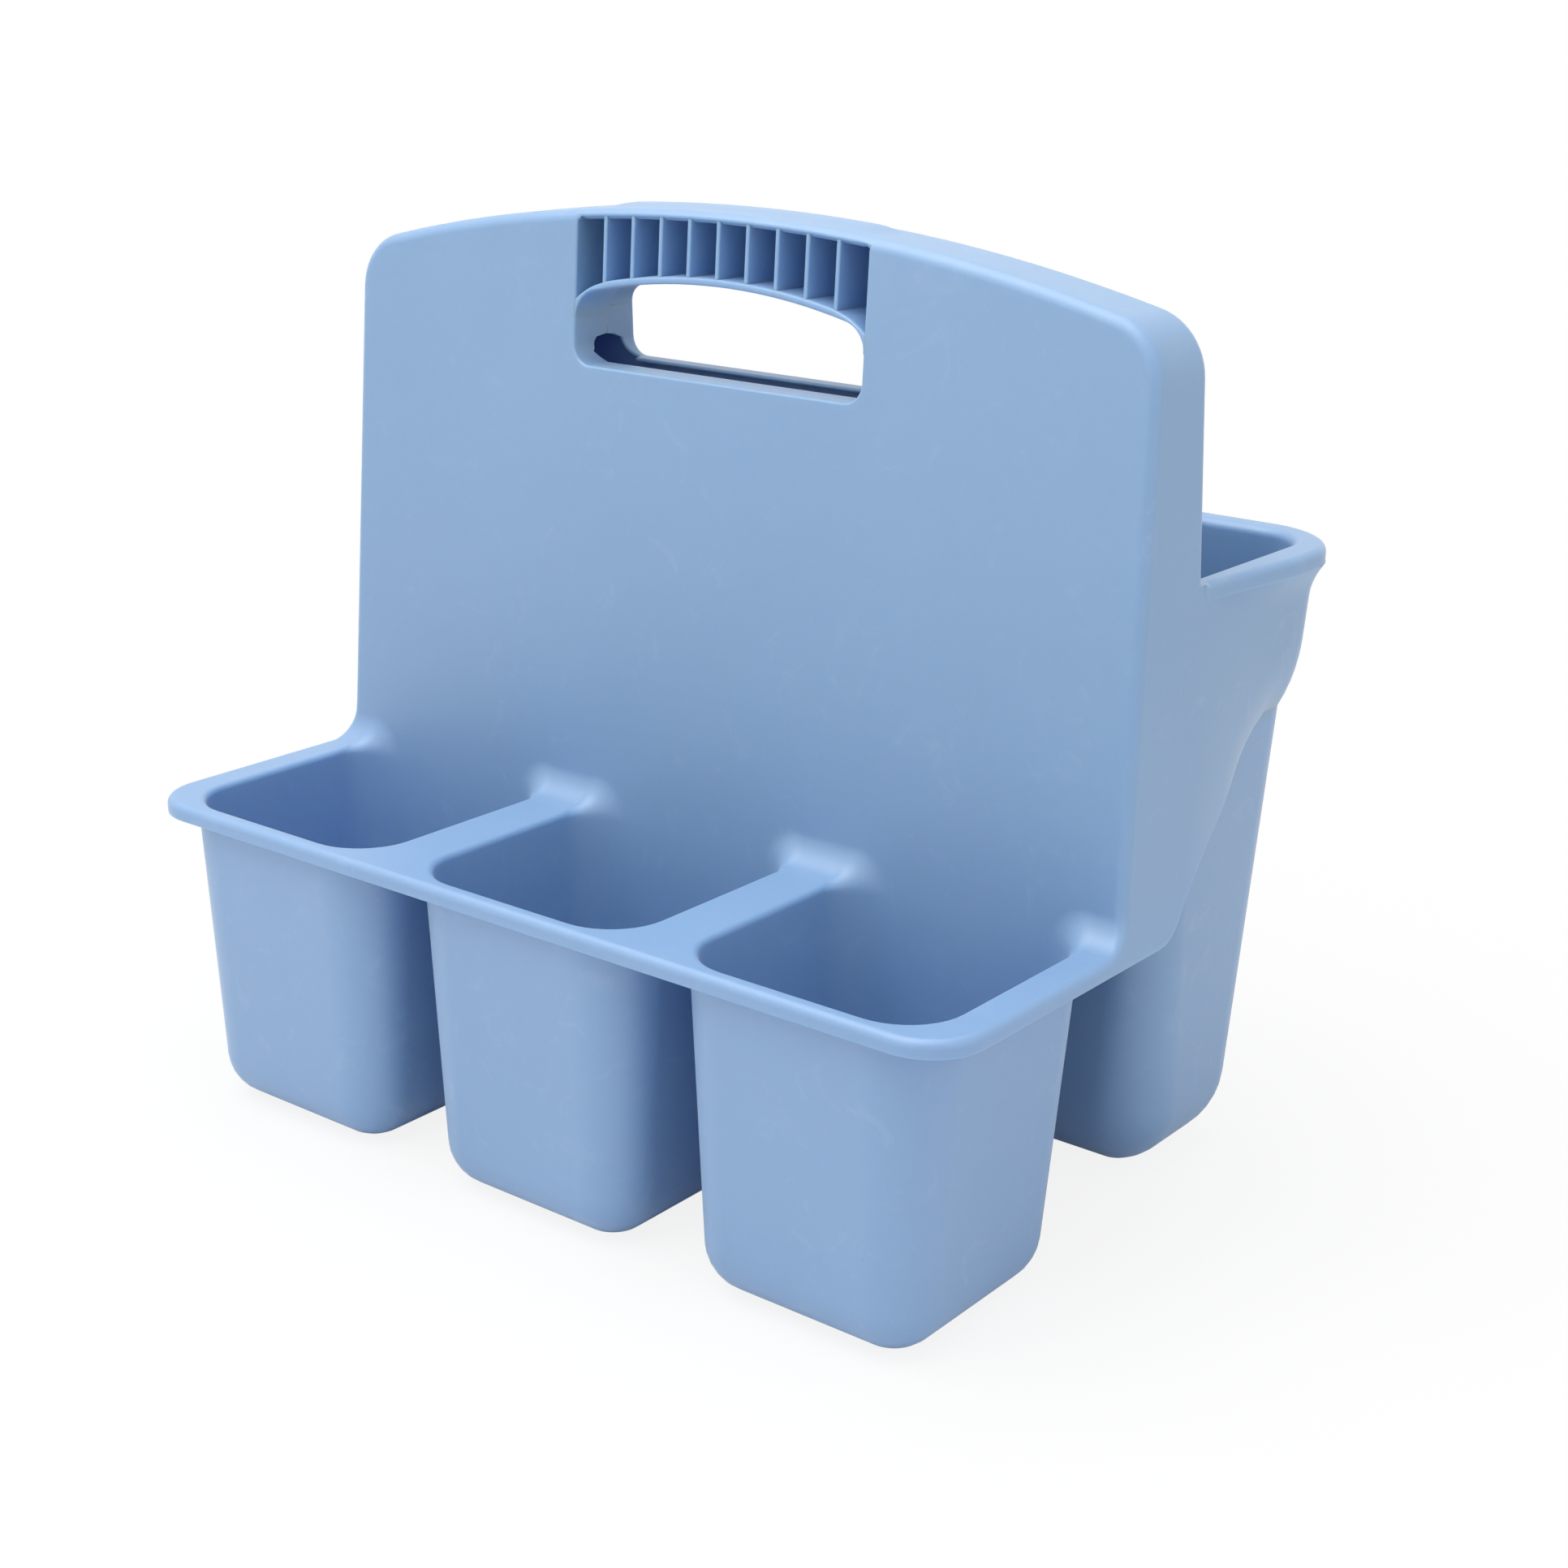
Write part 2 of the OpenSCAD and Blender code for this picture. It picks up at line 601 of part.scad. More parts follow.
// Rim outline, flush with the panel's side at its ends and proud of the bin behind
function rim_at(st, z, back) = let (s = st[0], m = st[1], r = rim_corner_r)
    s[0] == 0 ? [m * (half_w(z) + (rim_x - half_w(z)) * ease(progress(st)) - back),
        s[1] == right_round[0][1] ? rear(z) : s[1], z]
    : s[0] == 1 ? [m * (rim_x - r + (r - back) * cos(s[1])), rim_y - r + (r - back) * sin(s[1]), z]
    : [m * s[1], rim_y - back, z];

module rear_rim() {
    function section(st) = concat(
        [round_at(st, bin_top, -wall)],
        [for (i = [0 : edge_steps]) let (a = 90 * i / edge_steps,
            o = round_at(st, bin_top, -wall + bin_mouth_round * (1 - cos(a))))
            [o.x, o.y, bin_h - bin_mouth_round * (1 - sin(a))]],
        [for (i = [0 : edge_steps]) let (a = 90 * i / edge_steps)
            rim_at(st, bin_h - rim_round * (1 - cos(a)), rim_round * (1 - sin(a)))],
        [rim_at(st, bin_top, 0)]);
    color(body_blue)
        skin([for (st = round_stations) section(st)], strip = true);
}

// Apron below the rear rim, which curls in to the wall of the bin at the back
module bin_collar() {
    function foot(st) = st[0][2];
    function levels(st) = concat(
        [for (i = [0 : hollow_steps]) bin_top - collar_hollow * i / hollow_steps],
        [for (i = [0 : foot_steps]) foot(st) + collar_round * cos(90 * i / foot_steps)]);
    function stand(st, z) = let (p = ease(progress(st)), k = ease((progress(st) - curl_from) / (1 - curl_from)),
        u = min(max((foot(st) + collar_round - z) / collar_round, 0), 1),
        flat = (half_w(z) - bin_x(z)) * (1 - p) + collar_out * p,
        lip = norm(rim_at(st, bin_top, 0) - round_at(st, bin_top, 0)),
        v = max((z - bin_top + collar_hollow) / collar_hollow, 0),
        curled = flat * (1 - k + k * sqrt(1 - u * u)))
        max(curled + (lip - rim_round * p - curled) * v * v * p, feather);
    function section(st) = concat(
        [for (z = levels(st)) round_at(st, z, stand(st, z))],
        [for (i = [hollow_steps + foot_steps + 1 : -1 : 0]) let (z = levels(st)[i]) round_at(st, z, max(stand(st, z) - wall, 0))]);
    color(body_blue)
        skin([for (st = round_stations) section(st)], strip = true);
}

front_cup_left();
front_cup_middle();
front_cup_right();
deck_rim();
deck_plate();
panel_front_wall();
panel_shoulder_left();
panel_shoulder_right();
panel_rear_wall();
panel_edge_band();
side_skirt_left();
side_skirt_right();
grip_ribs();
grip_arch();
rear_bin();
bin_collar();
rear_rim();
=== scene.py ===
import math

import bpy
from mathutils import Matrix, Vector


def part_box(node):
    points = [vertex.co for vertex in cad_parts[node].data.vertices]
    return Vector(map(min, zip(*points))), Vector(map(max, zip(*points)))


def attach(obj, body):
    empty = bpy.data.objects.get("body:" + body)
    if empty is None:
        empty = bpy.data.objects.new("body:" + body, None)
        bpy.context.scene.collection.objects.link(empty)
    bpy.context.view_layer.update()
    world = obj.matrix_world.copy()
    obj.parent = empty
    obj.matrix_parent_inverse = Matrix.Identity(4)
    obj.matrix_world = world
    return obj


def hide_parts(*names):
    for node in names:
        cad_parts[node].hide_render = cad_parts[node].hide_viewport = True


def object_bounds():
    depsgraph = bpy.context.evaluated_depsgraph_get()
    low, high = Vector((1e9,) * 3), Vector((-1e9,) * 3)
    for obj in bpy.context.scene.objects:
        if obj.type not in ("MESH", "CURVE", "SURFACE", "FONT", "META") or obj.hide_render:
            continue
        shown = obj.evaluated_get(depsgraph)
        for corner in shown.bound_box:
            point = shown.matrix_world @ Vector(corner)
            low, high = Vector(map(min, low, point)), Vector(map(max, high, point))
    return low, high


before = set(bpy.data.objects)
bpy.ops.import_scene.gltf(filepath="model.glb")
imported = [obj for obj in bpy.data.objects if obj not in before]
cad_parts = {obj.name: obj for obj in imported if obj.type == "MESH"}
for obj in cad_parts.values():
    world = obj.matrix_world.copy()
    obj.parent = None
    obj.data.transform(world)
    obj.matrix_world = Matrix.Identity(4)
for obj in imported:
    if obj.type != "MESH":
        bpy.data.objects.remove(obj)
cad_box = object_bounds()

# The moulded body of the caddy: three cups, their deck, the hollow panel and the
# bin are one skin of polypropylene 2.5 mm thick, shot in one go in a steel mould.
# This part lays out the faces of the panel, from which every other form starts.
MM = 0.001
half = cad_box[1][0] / MM
front = cad_box[0][1] / MM
deck_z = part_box("deck_rim")[1][2] / MM
rim_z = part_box("rear_rim")[1][2] / MM
deck_depth, depth_at_rim, deck_ledge = 88.5, 33.5, 1.9
deck_round = 2.5
face_draft, side_draft = 2.9, 1.5
face_y = front + deck_depth
lean = math.tan(math.radians(face_draft))
spread = math.tan(math.radians(side_draft))
flare_z0, flare_h = deck_z - deck_round, 17.0


def face(z):
    return face_y + lean * (z - deck_z)


def rear(z):
    return face(rim_z) + depth_at_rim - lean * (z - rim_z)


def half_w(z):
    return half - deck_ledge - spread * (z - deck_z)


def side_x(z):
    # The side spreads out to the deck's lip over its lowest stretch
    if z <= flare_z0:
        return half
    return half_w(z) + (half - half_w(flare_z0)) * (max(flare_z0 + flare_h - z, 0) / flare_h) ** 2


# Outer edge of the moulding: it runs round the deck, turns up through a hollow
# fillet and goes on round the side and crown of the panel. Its mould was cut
# with one rounded cutter, so the edge is even and catches a thin line of light.
edge_angles = [0, 13, 26, 39, 52, 65, 78, 90]
top = cad_box[1][2] / MM
edge_round = 3.5
deck_corner = 18.0
fillet_r = 9.0
crown_z, crown_r, corner_r = top - 0.9, 580.0, 18.5
pad_half, pad_ramp, pad_r = 46.0, 8.0, 625.0
window_x = 55.2
window_edge = 0.8
skin = []


def cosd(a):
    return math.cos(math.radians(a))


def sind(a):
    return math.sin(math.radians(a))


def steps(a, b, n):
    return [a + (b - a) * i / n for i in range(n + 1)]


def ease(t):
    u = min(max(t, 0.0), 1.0)
    return u * u * (3 - 2 * u)


def mirrored(points):
    return [(-x, y, z) for x, y, z in points]


def sheet(rows):
    # A grid with one row of vertices for each row of points
    bpy.ops.object.select_all(action="DESELECT")
    bpy.ops.mesh.primitive_grid_add(x_subdivisions=len(rows[0]) - 1, y_subdivisions=len(rows) - 1)
    patch = bpy.context.object
    for vertex, point in zip(patch.data.vertices, [p for row in rows for p in row], strict=True):
        vertex.co = Vector(point) * MM
    return patch


def deck_cut(x, y, nx, ny):
    # Cross-section of the edge where the deck's outline has the outward normal nx, ny
    cut = []
    for a in edge_angles:
        inset = deck_round * (1 - sind(a))
        cut.append((x - inset * nx, y - inset * ny, deck_z - deck_round * (1 - cosd(a))))
    return cut


def fillet_cut(t):
    # The edge turns up by the angle t and grows from the deck's radius to the panel's
    r = deck_round + (edge_round - deck_round) * t / 90
    z0 = deck_z + fillet_r * (1 - cosd(t))
    y0 = face(z0) - fillet_r * (1 - sind(t))
    cut = []
    for a in edge_angles:
        deep = r * (1 - cosd(a))
        side = side_x(z0 - r * cosd(t))
        cut.append((side - r * (1 - sind(a)), y0 + deep * sind(t), z0 - deep * cosd(t)))
    return cut


def side_cut(z):
    return [(side_x(z) - edge_round * (1 - sind(a)), face(z) + edge_round * (1 - cosd(a)), z)
            for a in edge_angles]


def arc_z(x, peak, r):
    # Height at x of an arch of radius r that peaks in the middle
    return peak - r + math.sqrt(r * r - x * x)


def pad_lift(x):
    share = ease((pad_half + pad_ramp - abs(x)) / pad_ramp)
    return (arc_z(x, top, pad_r) - arc_z(x, crown_z, crown_r)) * share


# The corner's centre lies where both the drafted side and the crown are one
# corner radius away
side_n = (cosd(side_draft), sind(side_draft))
side_d = (-sind(side_draft), cosd(side_draft))
side_c = side_n[0] * half_w(rim_z) + side_n[1] * rim_z
base = ((side_c - corner_r) * side_n[0], (side_c - corner_r) * side_n[1])
crown_mid_z = crown_z - crown_r
rel = (base[0], base[1] - crown_mid_z)
along = rel[0] * side_d[0] + rel[1] * side_d[1]
reach = -along + math.sqrt(along ** 2 - rel[0] ** 2 - rel[1] ** 2 + (crown_r - corner_r) ** 2)
corner_mid = (base[0] + reach * side_d[0], base[1] + reach * side_d[1])
corner_end = math.degrees(math.atan2(corner_mid[1] - crown_mid_z, corner_mid[0]))
crown_x0 = crown_r * cosd(corner_end)

# Stations of the panel's outline: a point in X and Z and its outward normal
corner_z = corner_mid[1] + corner_r * side_n[1]
outline = [((half_w(z), z), side_n) for z in steps(rim_z, corner_z, 4)[:-1]]
outline += [((corner_mid[0] + corner_r * cosd(a), corner_mid[1] + corner_r * sind(a)), (cosd(a), sind(a)))
            for a in steps(side_draft, corner_end, 12)]
outline += [((x, arc_z(x, crown_z, crown_r)), (x / crown_r, math.sqrt(1 - (x / crown_r) ** 2)))
            for x in steps(crown_x0, window_x + 2, 8)[1:]]
grip_xs = [window_x + window_edge]
grip_xs += steps(pad_half + pad_ramp, pad_half, 4) + steps(pad_half, 0, 9)[1:]
outline += [((x, arc_z(x, crown_z, crown_r)), (0.0, 1.0)) for x in grip_xs]
outline += [((-p[0], p[1]), (-n[0], n[1])) for p, n in outline[-2::-1]]


def rim_point(station, inset, deep, on_front):
    # Point that lies inset from the outline and deep behind the face, or before the rear
    (x, z), (nx, nz) = station
    z -= inset * nz
    return (x - inset * nx, face(z) + deep if on_front else rear(z) - deep, z)


def outline_cut(station, on_front):
    return [rim_point(station, edge_round * (1 - sind(a)), edge_round * (1 - cosd(a)), on_front)
            for a in edge_angles]


corner_x, corner_y = half - deck_corner, front + deck_corner
deck_path = [(x, front, 0.0, -1.0) for x in steps(0, corner_x, 6)[:-1]]
deck_path += [(corner_x + deck_corner * cosd(a), corner_y + deck_corner * sind(a), cosd(a), sind(a))
              for a in steps(-90, 0, 14)]
deck_path += [(half, y, 1.0, 0.0) for y in steps(corner_y, face_y - fillet_r, 6)[1:]]
deck_cuts = [deck_cut(*p) for p in deck_path]
fillet_cuts = [fillet_cut(t) for t in steps(0, 90, 10)]
side_zs = steps(deck_z + fillet_r, flare_z0 + flare_h + 2, 5)[1:]
side_cuts = [side_cut(z) for z in side_zs + steps(side_zs[-1], rim_z, 20)[1:-1]]
top_cuts = [outline_cut(s, True) for s in outline]
open_at = next(i for i, s in enumerate(outline) if abs(s[0][0] - window_x - window_edge) < 0.01)
right_edge = deck_cuts + fillet_cuts[1:] + side_cuts + top_cuts[:open_at + 1]
skin.append(sheet(right_edge))
skin.append(sheet([mirrored(cut) for cut in right_edge]))
# Over the grip's window the face has no land left, so the edge starts a little way round
skin.append(sheet([cut[2:] for cut in top_cuts[open_at:len(outline) - open_at]]))

# Top and sides of the panel behind that edge, as wide as the panel is deep, with
# the raised pad that the palm rests on along the crown. The same rounding closes
# the band at the rear.
lip_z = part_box("deck_rim")[0][2] / MM
pad_front = [0.0, 3.0, 6.0, 9.0, 12.4]
pad_rear = [0.0, 0.8, 1.6, 2.4, 3.2]
band = []
for station in outline:
    lift = pad_lift(station[0][0])
    near = [rim_point(station, -lift * ease(d / pad_front[-1]), edge_round + d, True) for d in pad_front]
    far = [rim_point(station, -lift * ease(d / pad_rear[-1]), edge_round + d, False) for d in pad_rear]
    band.append(near + far[::-1])
skin.append(sheet(band))
rear_cuts = [outline_cut(s, False) for s in outline]
# The lowest rear cut rises, because the rim of the bin runs up into it
foot_rise = [3.0 * (1 - a / 90) ** 2 for a in edge_angles]


def rear_edge(a, z):
    return (half_w(z) - edge_round * (1 - sind(a)), rear(z) - edge_round * (1 - cosd(a)), z)


rear_cuts[0] = [rear_edge(a, rim_z + rise) for a, rise in zip(edge_angles, foot_rise)]
rear_cuts[-1] = mirrored(rear_cuts[0])
skin.append(sheet(rear_cuts))
# The lip of the deck hangs straight down
for side in (1, -1):
    skin.append(sheet([[(side * cut[-1][0], cut[-1][1], z) for z in (cut[-1][2], lip_z)]
                       for cut in deck_cuts]))

# Front cups: three tubs that hang from the deck. Each wall has draft, so that the
# moulding leaves the steel, and the wall behind is the panel's own face. Their
# mouths and the bars between them sweep up into the panel through one fillet.
wall = 2.5
deck_side_w, deck_front_w, divider_w = 12.0, 6.0, 19.75
cup_w = (2 * half - 2 * deck_side_w - 2 * divider_w) / 3
cup_pitch = cup_w + divider_w
cup_front_y = front + deck_front_w
cup_draft = math.tan(math.radians(3.15))
mouth_round, mouth_land = 2.0, 2.5
cup_corner, cup_back = 18.0, 14.5
cup_floor_r = 12.5
# Down here the faces of the mouth pass into those of the tub
cup_seam_z = 100.0


def plate(points):
    # A flat face inside a loop of points, of which those that coincide are dropped
    loop = [p for i, p in enumerate(points) if math.dist(p, points[i - 1]) > 0.001]
    bpy.ops.object.select_all(action="DESELECT")
    bpy.ops.mesh.primitive_circle_add(vertices=len(loop), fill_type="NGON")
    patch = bpy.context.object
    for vertex, point in zip(patch.data.vertices, loop, strict=True):
        vertex.co = Vector(point) * MM
    return patch


def mouth_profile(round_r, top_z, draft, below, wall_r, flat_r, flat_off, n):
    # Each entry: distance out from the wall, height, direction of the surface, saddle radius
    foot_z = top_z - round_r
    rows = [(-draft * (foot_z - z), z, 0.0, wall_r) for z in below]
    rows += [(round_r * (1 - cosd(a)), foot_z + round_r * sind(a), a, wall_r + (flat_r - wall_r) * a / 90)
             for a in steps(0, 90, n)]
    return rows + [(flat_off, top_z, 90.0, flat_r)] if flat_off > round_r else rows


def saddle(side_at, plane, off, z, a, r, t):
    # Point of the mouth where it turns up, out of its own run and into the panel
    out = r * (1 - cosd(t))
    z1 = z + sind(a) * out
    return (side_at + off - cosd(a) * out, plane(z1), r * (1 - sind(t)), z1)


cup_rows = mouth_profile(mouth_round, deck_z, cup_draft, [cup_seam_z], cup_back, fillet_r, mouth_land, 6)
cup_mids = [-cup_pitch, 0.0, cup_pitch]
turns = steps(0, 90, 10)


def cup_mouth(mid):
    # Cuts across the mouth's edge, from one saddle round the cup's front to the other
    cuts = []
    for t in turns[::-1]:
        points = [saddle(cup_w / 2, face, *row, t) for row in cup_rows]
        cuts.append([(mid - x, y - d, z) for x, y, d, z in points])
    for side in (-1, 1):
        arc = turns if side < 0 else turns[::-1]
        for a in arc:
            cuts.append([(mid + side * (cup_w / 2 - cup_corner + (cup_corner + off) * cosd(a)),
                          cup_front_y + cup_corner - (cup_corner + off) * sind(a), z)
                         for off, z, _, _ in cup_rows])
    for t in turns:
        points = [saddle(cup_w / 2, face, *row, t) for row in cup_rows]
        cuts.append([(mid + x, y - d, z) for x, y, d, z in points])
    return cuts


def cup_ring(mid, z, inset):
    # Level ring round the inside of a cup, open along the panel's face
    g = -cup_draft * (deck_z - mouth_round - z) - inset
    hw, rb, rf = cup_w / 2 + g, max(cup_back - inset, 1), max(cup_corner + g, 1)
    yb, yf = face(z) - inset, cup_front_y - g
    ring = [(mid - hw + rb * (1 - cosd(t)), yb - rb * (1 - sind(t)), z) for t in turns[::-1]]
    ring += [(mid - hw + rf - rf * cosd(a), yf + rf - rf * sind(a), z) for a in turns]
    ring += [(mid + hw - rf + rf * cosd(a), yf + rf - rf * sind(a), z) for a in turns[::-1]]
    ring += [(mid + hw - rb * (1 - cosd(t)), yb - rb * (1 - sind(t)), z) for t in turns]
    return ring


mouths = [cup_mouth(mid) for mid in cup_mids]
for mid, cuts in zip(cup_mids, mouths):
    skin.append(sheet(cuts))
    rings = [cup_ring(mid, z, 0) for z in steps(cup_seam_z, wall + cup_floor_r, 6)]
    rings += [cup_ring(mid, wall + cup_floor_r * (1 - sind(a)), cup_floor_r * (1 - cosd(a)))
              for a in steps(0, 90, 8)[1:]]
    skin.append(sheet([ring + ring[:1] for ring in rings]))
    skin.append(plate(rings[-1]))

# Deck: flat bars between the mouths and beside them carry the cups, and a hollow
# fillet at each bar's rear end ties it to the panel.
bar_ends = [m + s * (cup_w / 2 + mouth_land) for m in cup_mids[::-1] for s in (1, -1)]


def fillet_line(t):
    z = deck_z + fillet_r * (1 - cosd(t))
    return face(z) - fillet_r * (1 - sind(t)), z


for ends in (bar_ends[1:3], bar_ends[3:5]):
    skin.append(sheet([[(x, *fillet_line(t)) for x in ends] for t in turns]))
for side in (1, -1):
    skin.append(sheet([[(side * cut[0][0], *cut[0][1:]), (side * bar_ends[0], *fillet_line(t))]
                       for cut, t in zip(fillet_cuts, turns)]))
deck_loop = [cut[0] for cut in deck_cuts[::-1]] + [p for cut in deck_cuts[1:] for p in mirrored(cut[:1])]
turn_count = len(turns)
for cuts in mouths:
    deck_loop += [cut[-1] for cut in cuts[turn_count - 1:-turn_count + 1]]
skin.append(plate(deck_loop))

# Face of the panel, with the grip's window cut down into it from the crown. The
# hand hole below the arch goes right through to the rear face.
hole_z = top - 50.3
hole_corner = 6.0
arch_under_r = 217.8
arch_mid_z = top - 22.1 - arch_under_r


def under_arch(r):
    # Half of the arch's lower edge, from the middle to where its corner of radius r
    # ends on the side of the opening
    x0 = window_x - r
    z0 = arch_mid_z + math.sqrt((arch_under_r - r) ** 2 - x0 ** 2)
    a0 = math.degrees(math.asin(x0 / (arch_under_r - r)))
    arc = [(arch_under_r * sind(a), arch_mid_z + arch_under_r * cosd(a), sind(a), cosd(a))
           for a in steps(0, a0, 10)[:-1]]
    return arc + [(x0 + r * sind(a), z0 + r * cosd(a), sind(a), cosd(a)) for a in steps(a0, 90, 10)]


# Heights above the sill: from the first one up the walls of the window are whole, and
# the last three lie where their ragged ends begin
whole_from = 18.8
row_rises = [17.0, 12.8, 8.0, 7.7, 7.3]

# Down the right side, round the corner, along the sill and up the left side; each
# entry is X, Z and the direction away from the opening
window_top = top_cuts[open_at][0][2]
upright_zs = steps(window_top, hole_z + whole_from, 5) + [hole_z + rise for rise in row_rises]
front_window = [(window_x, z, 1.0, 0.0) for z in upright_zs]
front_window += [(window_x - hole_corner * (1 - cosd(a)), hole_z + hole_corner * (1 - sind(a)),
                  cosd(a), -sind(a)) for a in steps(0, 90, 9)]
front_window += [(x, hole_z, 0.0, -1.0) for x in steps(window_x - hole_corner, 0, 6)[1:]]
front_window += [(-x, z, -nx, nz) for x, z, nx, nz in front_window[-2::-1]]
window_loop = [(x + window_edge * nx, face(z + window_edge * nz), z + window_edge * nz)
               for x, z, nx, nz in front_window]
face_loop = [cut[0] for cut in fillet_cuts[-1:] + side_cuts + top_cuts[:open_at]]
face_loop = face_loop + window_loop + mirrored(face_loop)[::-1]
for cuts in mouths:
    face_loop += cuts[0][::-1] + cuts[-1]
skin.append(plate(face_loop))
hand_hole = under_arch(hole_corner)
arch_end_z = hand_hole[-1][1]
hand_hole += [p for p in front_window if p[1] < arch_end_z - 1 and p[0] > -0.001]
rear_hole = hand_hole + [(-x, z, -nx, nz) for x, z, nx, nz in hand_hole[-2:0:-1]]


def hole_edge(p):
    x, z, nx, nz = p
    return (x + window_edge * nx, rear(z + window_edge * nz), z + window_edge * nz)


# Bin behind the panel: one deep tub as wide as the caddy. Its rolled rim stands
# proud of it, flush with the panel's sides at its ends, and below the rim an apron
# curls in to the wall of the bin, where the hands lift a full caddy.
back = cad_box[1][1] / MM
rim_foot_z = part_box("rear_rim")[0][2] / MM
bin_side_draft, bin_back_draft, bin_front_draft = [math.tan(math.radians(a)) for a in (3.25, 1.7, 4.8)]
bin_corner, bin_front_corner, bin_floor_r = 18.5, 8.0, 26.0
bin_mouth, bin_seam_z = 3.0, 192.0
rim_side_w, rim_back_w = 8.5, 7.0
rim_corner, rim_round, rim_fade = 29.0, 2.5, 4.0
collar_h, collar_out, collar_foot, collar_hollow = 51.5, 4.4, 22.0, 11.0
curl_from, rim_proud = 0.4, 0.4
collar_z = rim_z - collar_h


def bin_x(z):
    return half - rim_side_w - bin_side_draft * (rim_z - z)


def bin_y(z):
    return back - rim_back_w - bin_back_draft * (rim_z - z)


def bin_front(z):
    return rear(rim_foot_z) - wall + bin_front_draft * (rim_foot_z - z)


def front_radius(z):
    return bin_front_corner + (bin_corner - bin_front_corner) * (1 - z / rim_foot_z)


def bin_ring(z, inset):
    # Level ring round the inside of the bin
    hw, y1, y0 = bin_x(z) - wall - inset, bin_y(z) - wall - inset, bin_front(z) + wall + inset
    rf, rb = max(front_radius(z) - inset, 1), max(bin_corner - wall - inset, 1)
    ring = [(hw - rf * (1 - cosd(t)), y0 + rf * (1 - sind(t)), z) for t in turns[::-1]]
    ring += [(hw - rb + rb * cosd(a), y1 - rb + rb * sind(a), z) for a in turns]
    return [(0.0, y0, z)] + ring + mirrored(ring)[::-1]


# Cuts across the mouth's edge: a saddle beside the panel, then the rear corner
bin_rows = mouth_profile(bin_mouth, rim_z, bin_side_draft, [bin_seam_z, rim_foot_z],
                         bin_front_corner, foot_rise[0], 0.0, 6)
mouth_cuts = []
for t in turns[::-1]:
    cut = []
    for off, z, a, r in bin_rows:
        r = front_radius(z) if z < rim_foot_z else r
        out = r * (1 - cosd(t))
        z1 = z + sind(a) * out
        wall_x = bin_x(min(z, rim_z - bin_mouth)) - wall + max(off, 0)
        wall_y = max(bin_front(z1) + wall, rear(z1))
        cut.append((wall_x - cosd(a) * out, wall_y + r * (1 - sind(t)), z1))
    mouth_cuts.append(cut)
for a in turns:
    cut = []
    for off, z, _, _ in bin_rows:
        low = min(z, rim_z - bin_mouth)
        hw, y1, r = bin_x(low) - wall, bin_y(low) - wall, bin_corner - wall
        g = max(off, 0)
        cut.append((hw - r + (r + g) * cosd(a), y1 - r + (r + g) * sind(a), z))
    mouth_cuts.append(cut)
mouth_cuts += [mirrored(cut) for cut in mouth_cuts[::-1]]
skin.append(sheet(mouth_cuts))
front_strip = [[mouth_cuts[0][k], (0.0, *mouth_cuts[0][k][1:]), mouth_cuts[-1][k]] for k in (0, 1)]
skin.append(sheet(front_strip))
rings = [bin_ring(z, 0) for z in steps(bin_seam_z, bin_floor_r, 10)]
rings += [bin_ring(wall + (bin_floor_r - wall) * (1 - sind(a)), (bin_floor_r - wall) * (1 - cosd(a)))
          for a in steps(0, 90, 10)[1:]]
skin.append(sheet([ring + ring[:1] for ring in rings]))
skin.append(plate(rings[-1]))

# Lower edge of the panel's side, from the deck's lip back to the foot of the apron:
# Y and Z of the four points that steer the curve
skirt = [(face_y + 19, lip_z), (face_y + 33, lip_z), (face_y + 35, lip_z + 22),
         (bin_y(collar_z) - bin_corner - 5, collar_z)]
band_back = band[0][-1][1]


def skirt_at(t):
    weights = ((1 - t) ** 3, 3 * t * (1 - t) ** 2, 3 * t * t * (1 - t), t ** 3)
    return tuple(sum(w * p[k] for w, p in zip(weights, skirt)) for k in (0, 1))


def skirt_reaches(y):
    # Place along the curve where it gets to y, found by halving
    lo, hi = 0.0, 1.0
    for _ in range(30):
        lo, hi = ((lo + hi) / 2, hi) if skirt_at((lo + hi) / 2)[0] < y else (lo, (lo + hi) / 2)
    return lo


skirt_t0 = skirt_reaches(band_back)
rim_start = rear(rim_z)
start_ys = steps(band_back, rim_start, 2) + steps(rim_start, rim_start + rim_fade, 5)[1:]
# Stations of the apron: the stretch, the place along it and the height of the foot
apron_path = [("side", y, skirt_at(skirt_reaches(y))[1]) for y in start_ys]
apron_path += [("side", *skirt_at(t)) for t in steps(skirt_reaches(start_ys[-1]), 1, 14)[1:]]
apron_path += [("corner", a, collar_z) for a in steps(0, 90, 14)[1:]]
apron_path += [("back", x, collar_z) for x in steps(bin_x(collar_z) - bin_corner, 0, 5)[1:]]


def progress(st):
    # From 0 at the panel to 1 at the bin's rear corner
    return 1.0 if st[0] != "side" else (st[1] - band_back) / (skirt[3][0] - band_back)


def bin_point(st, z, off):
    # Point that lies off outside the bin's wall
    kind, v, _ = st
    if kind == "side":
        return Vector((bin_x(z) + off, v, z))
    if kind == "corner":
        return Vector((bin_x(z) - bin_corner + (bin_corner + off) * cosd(v),
                       bin_y(z) - bin_corner + (bin_corner + off) * sind(v), z))
    return Vector((v, bin_y(z) + off, z))


def rim_outer(st, z, inset):
    # Point that lies inset from the outer face of the rim
    kind, v, _ = st
    if kind == "side":
        return Vector((side_x(z) + (half - side_x(z)) * ease(progress(st)) - inset, v, z))
    if kind == "corner":
        return Vector((half - rim_corner + (rim_corner - inset) * cosd(v),
                       back - rim_corner + (rim_corner - inset) * sind(v), z))
    return Vector((v, back - inset, z))


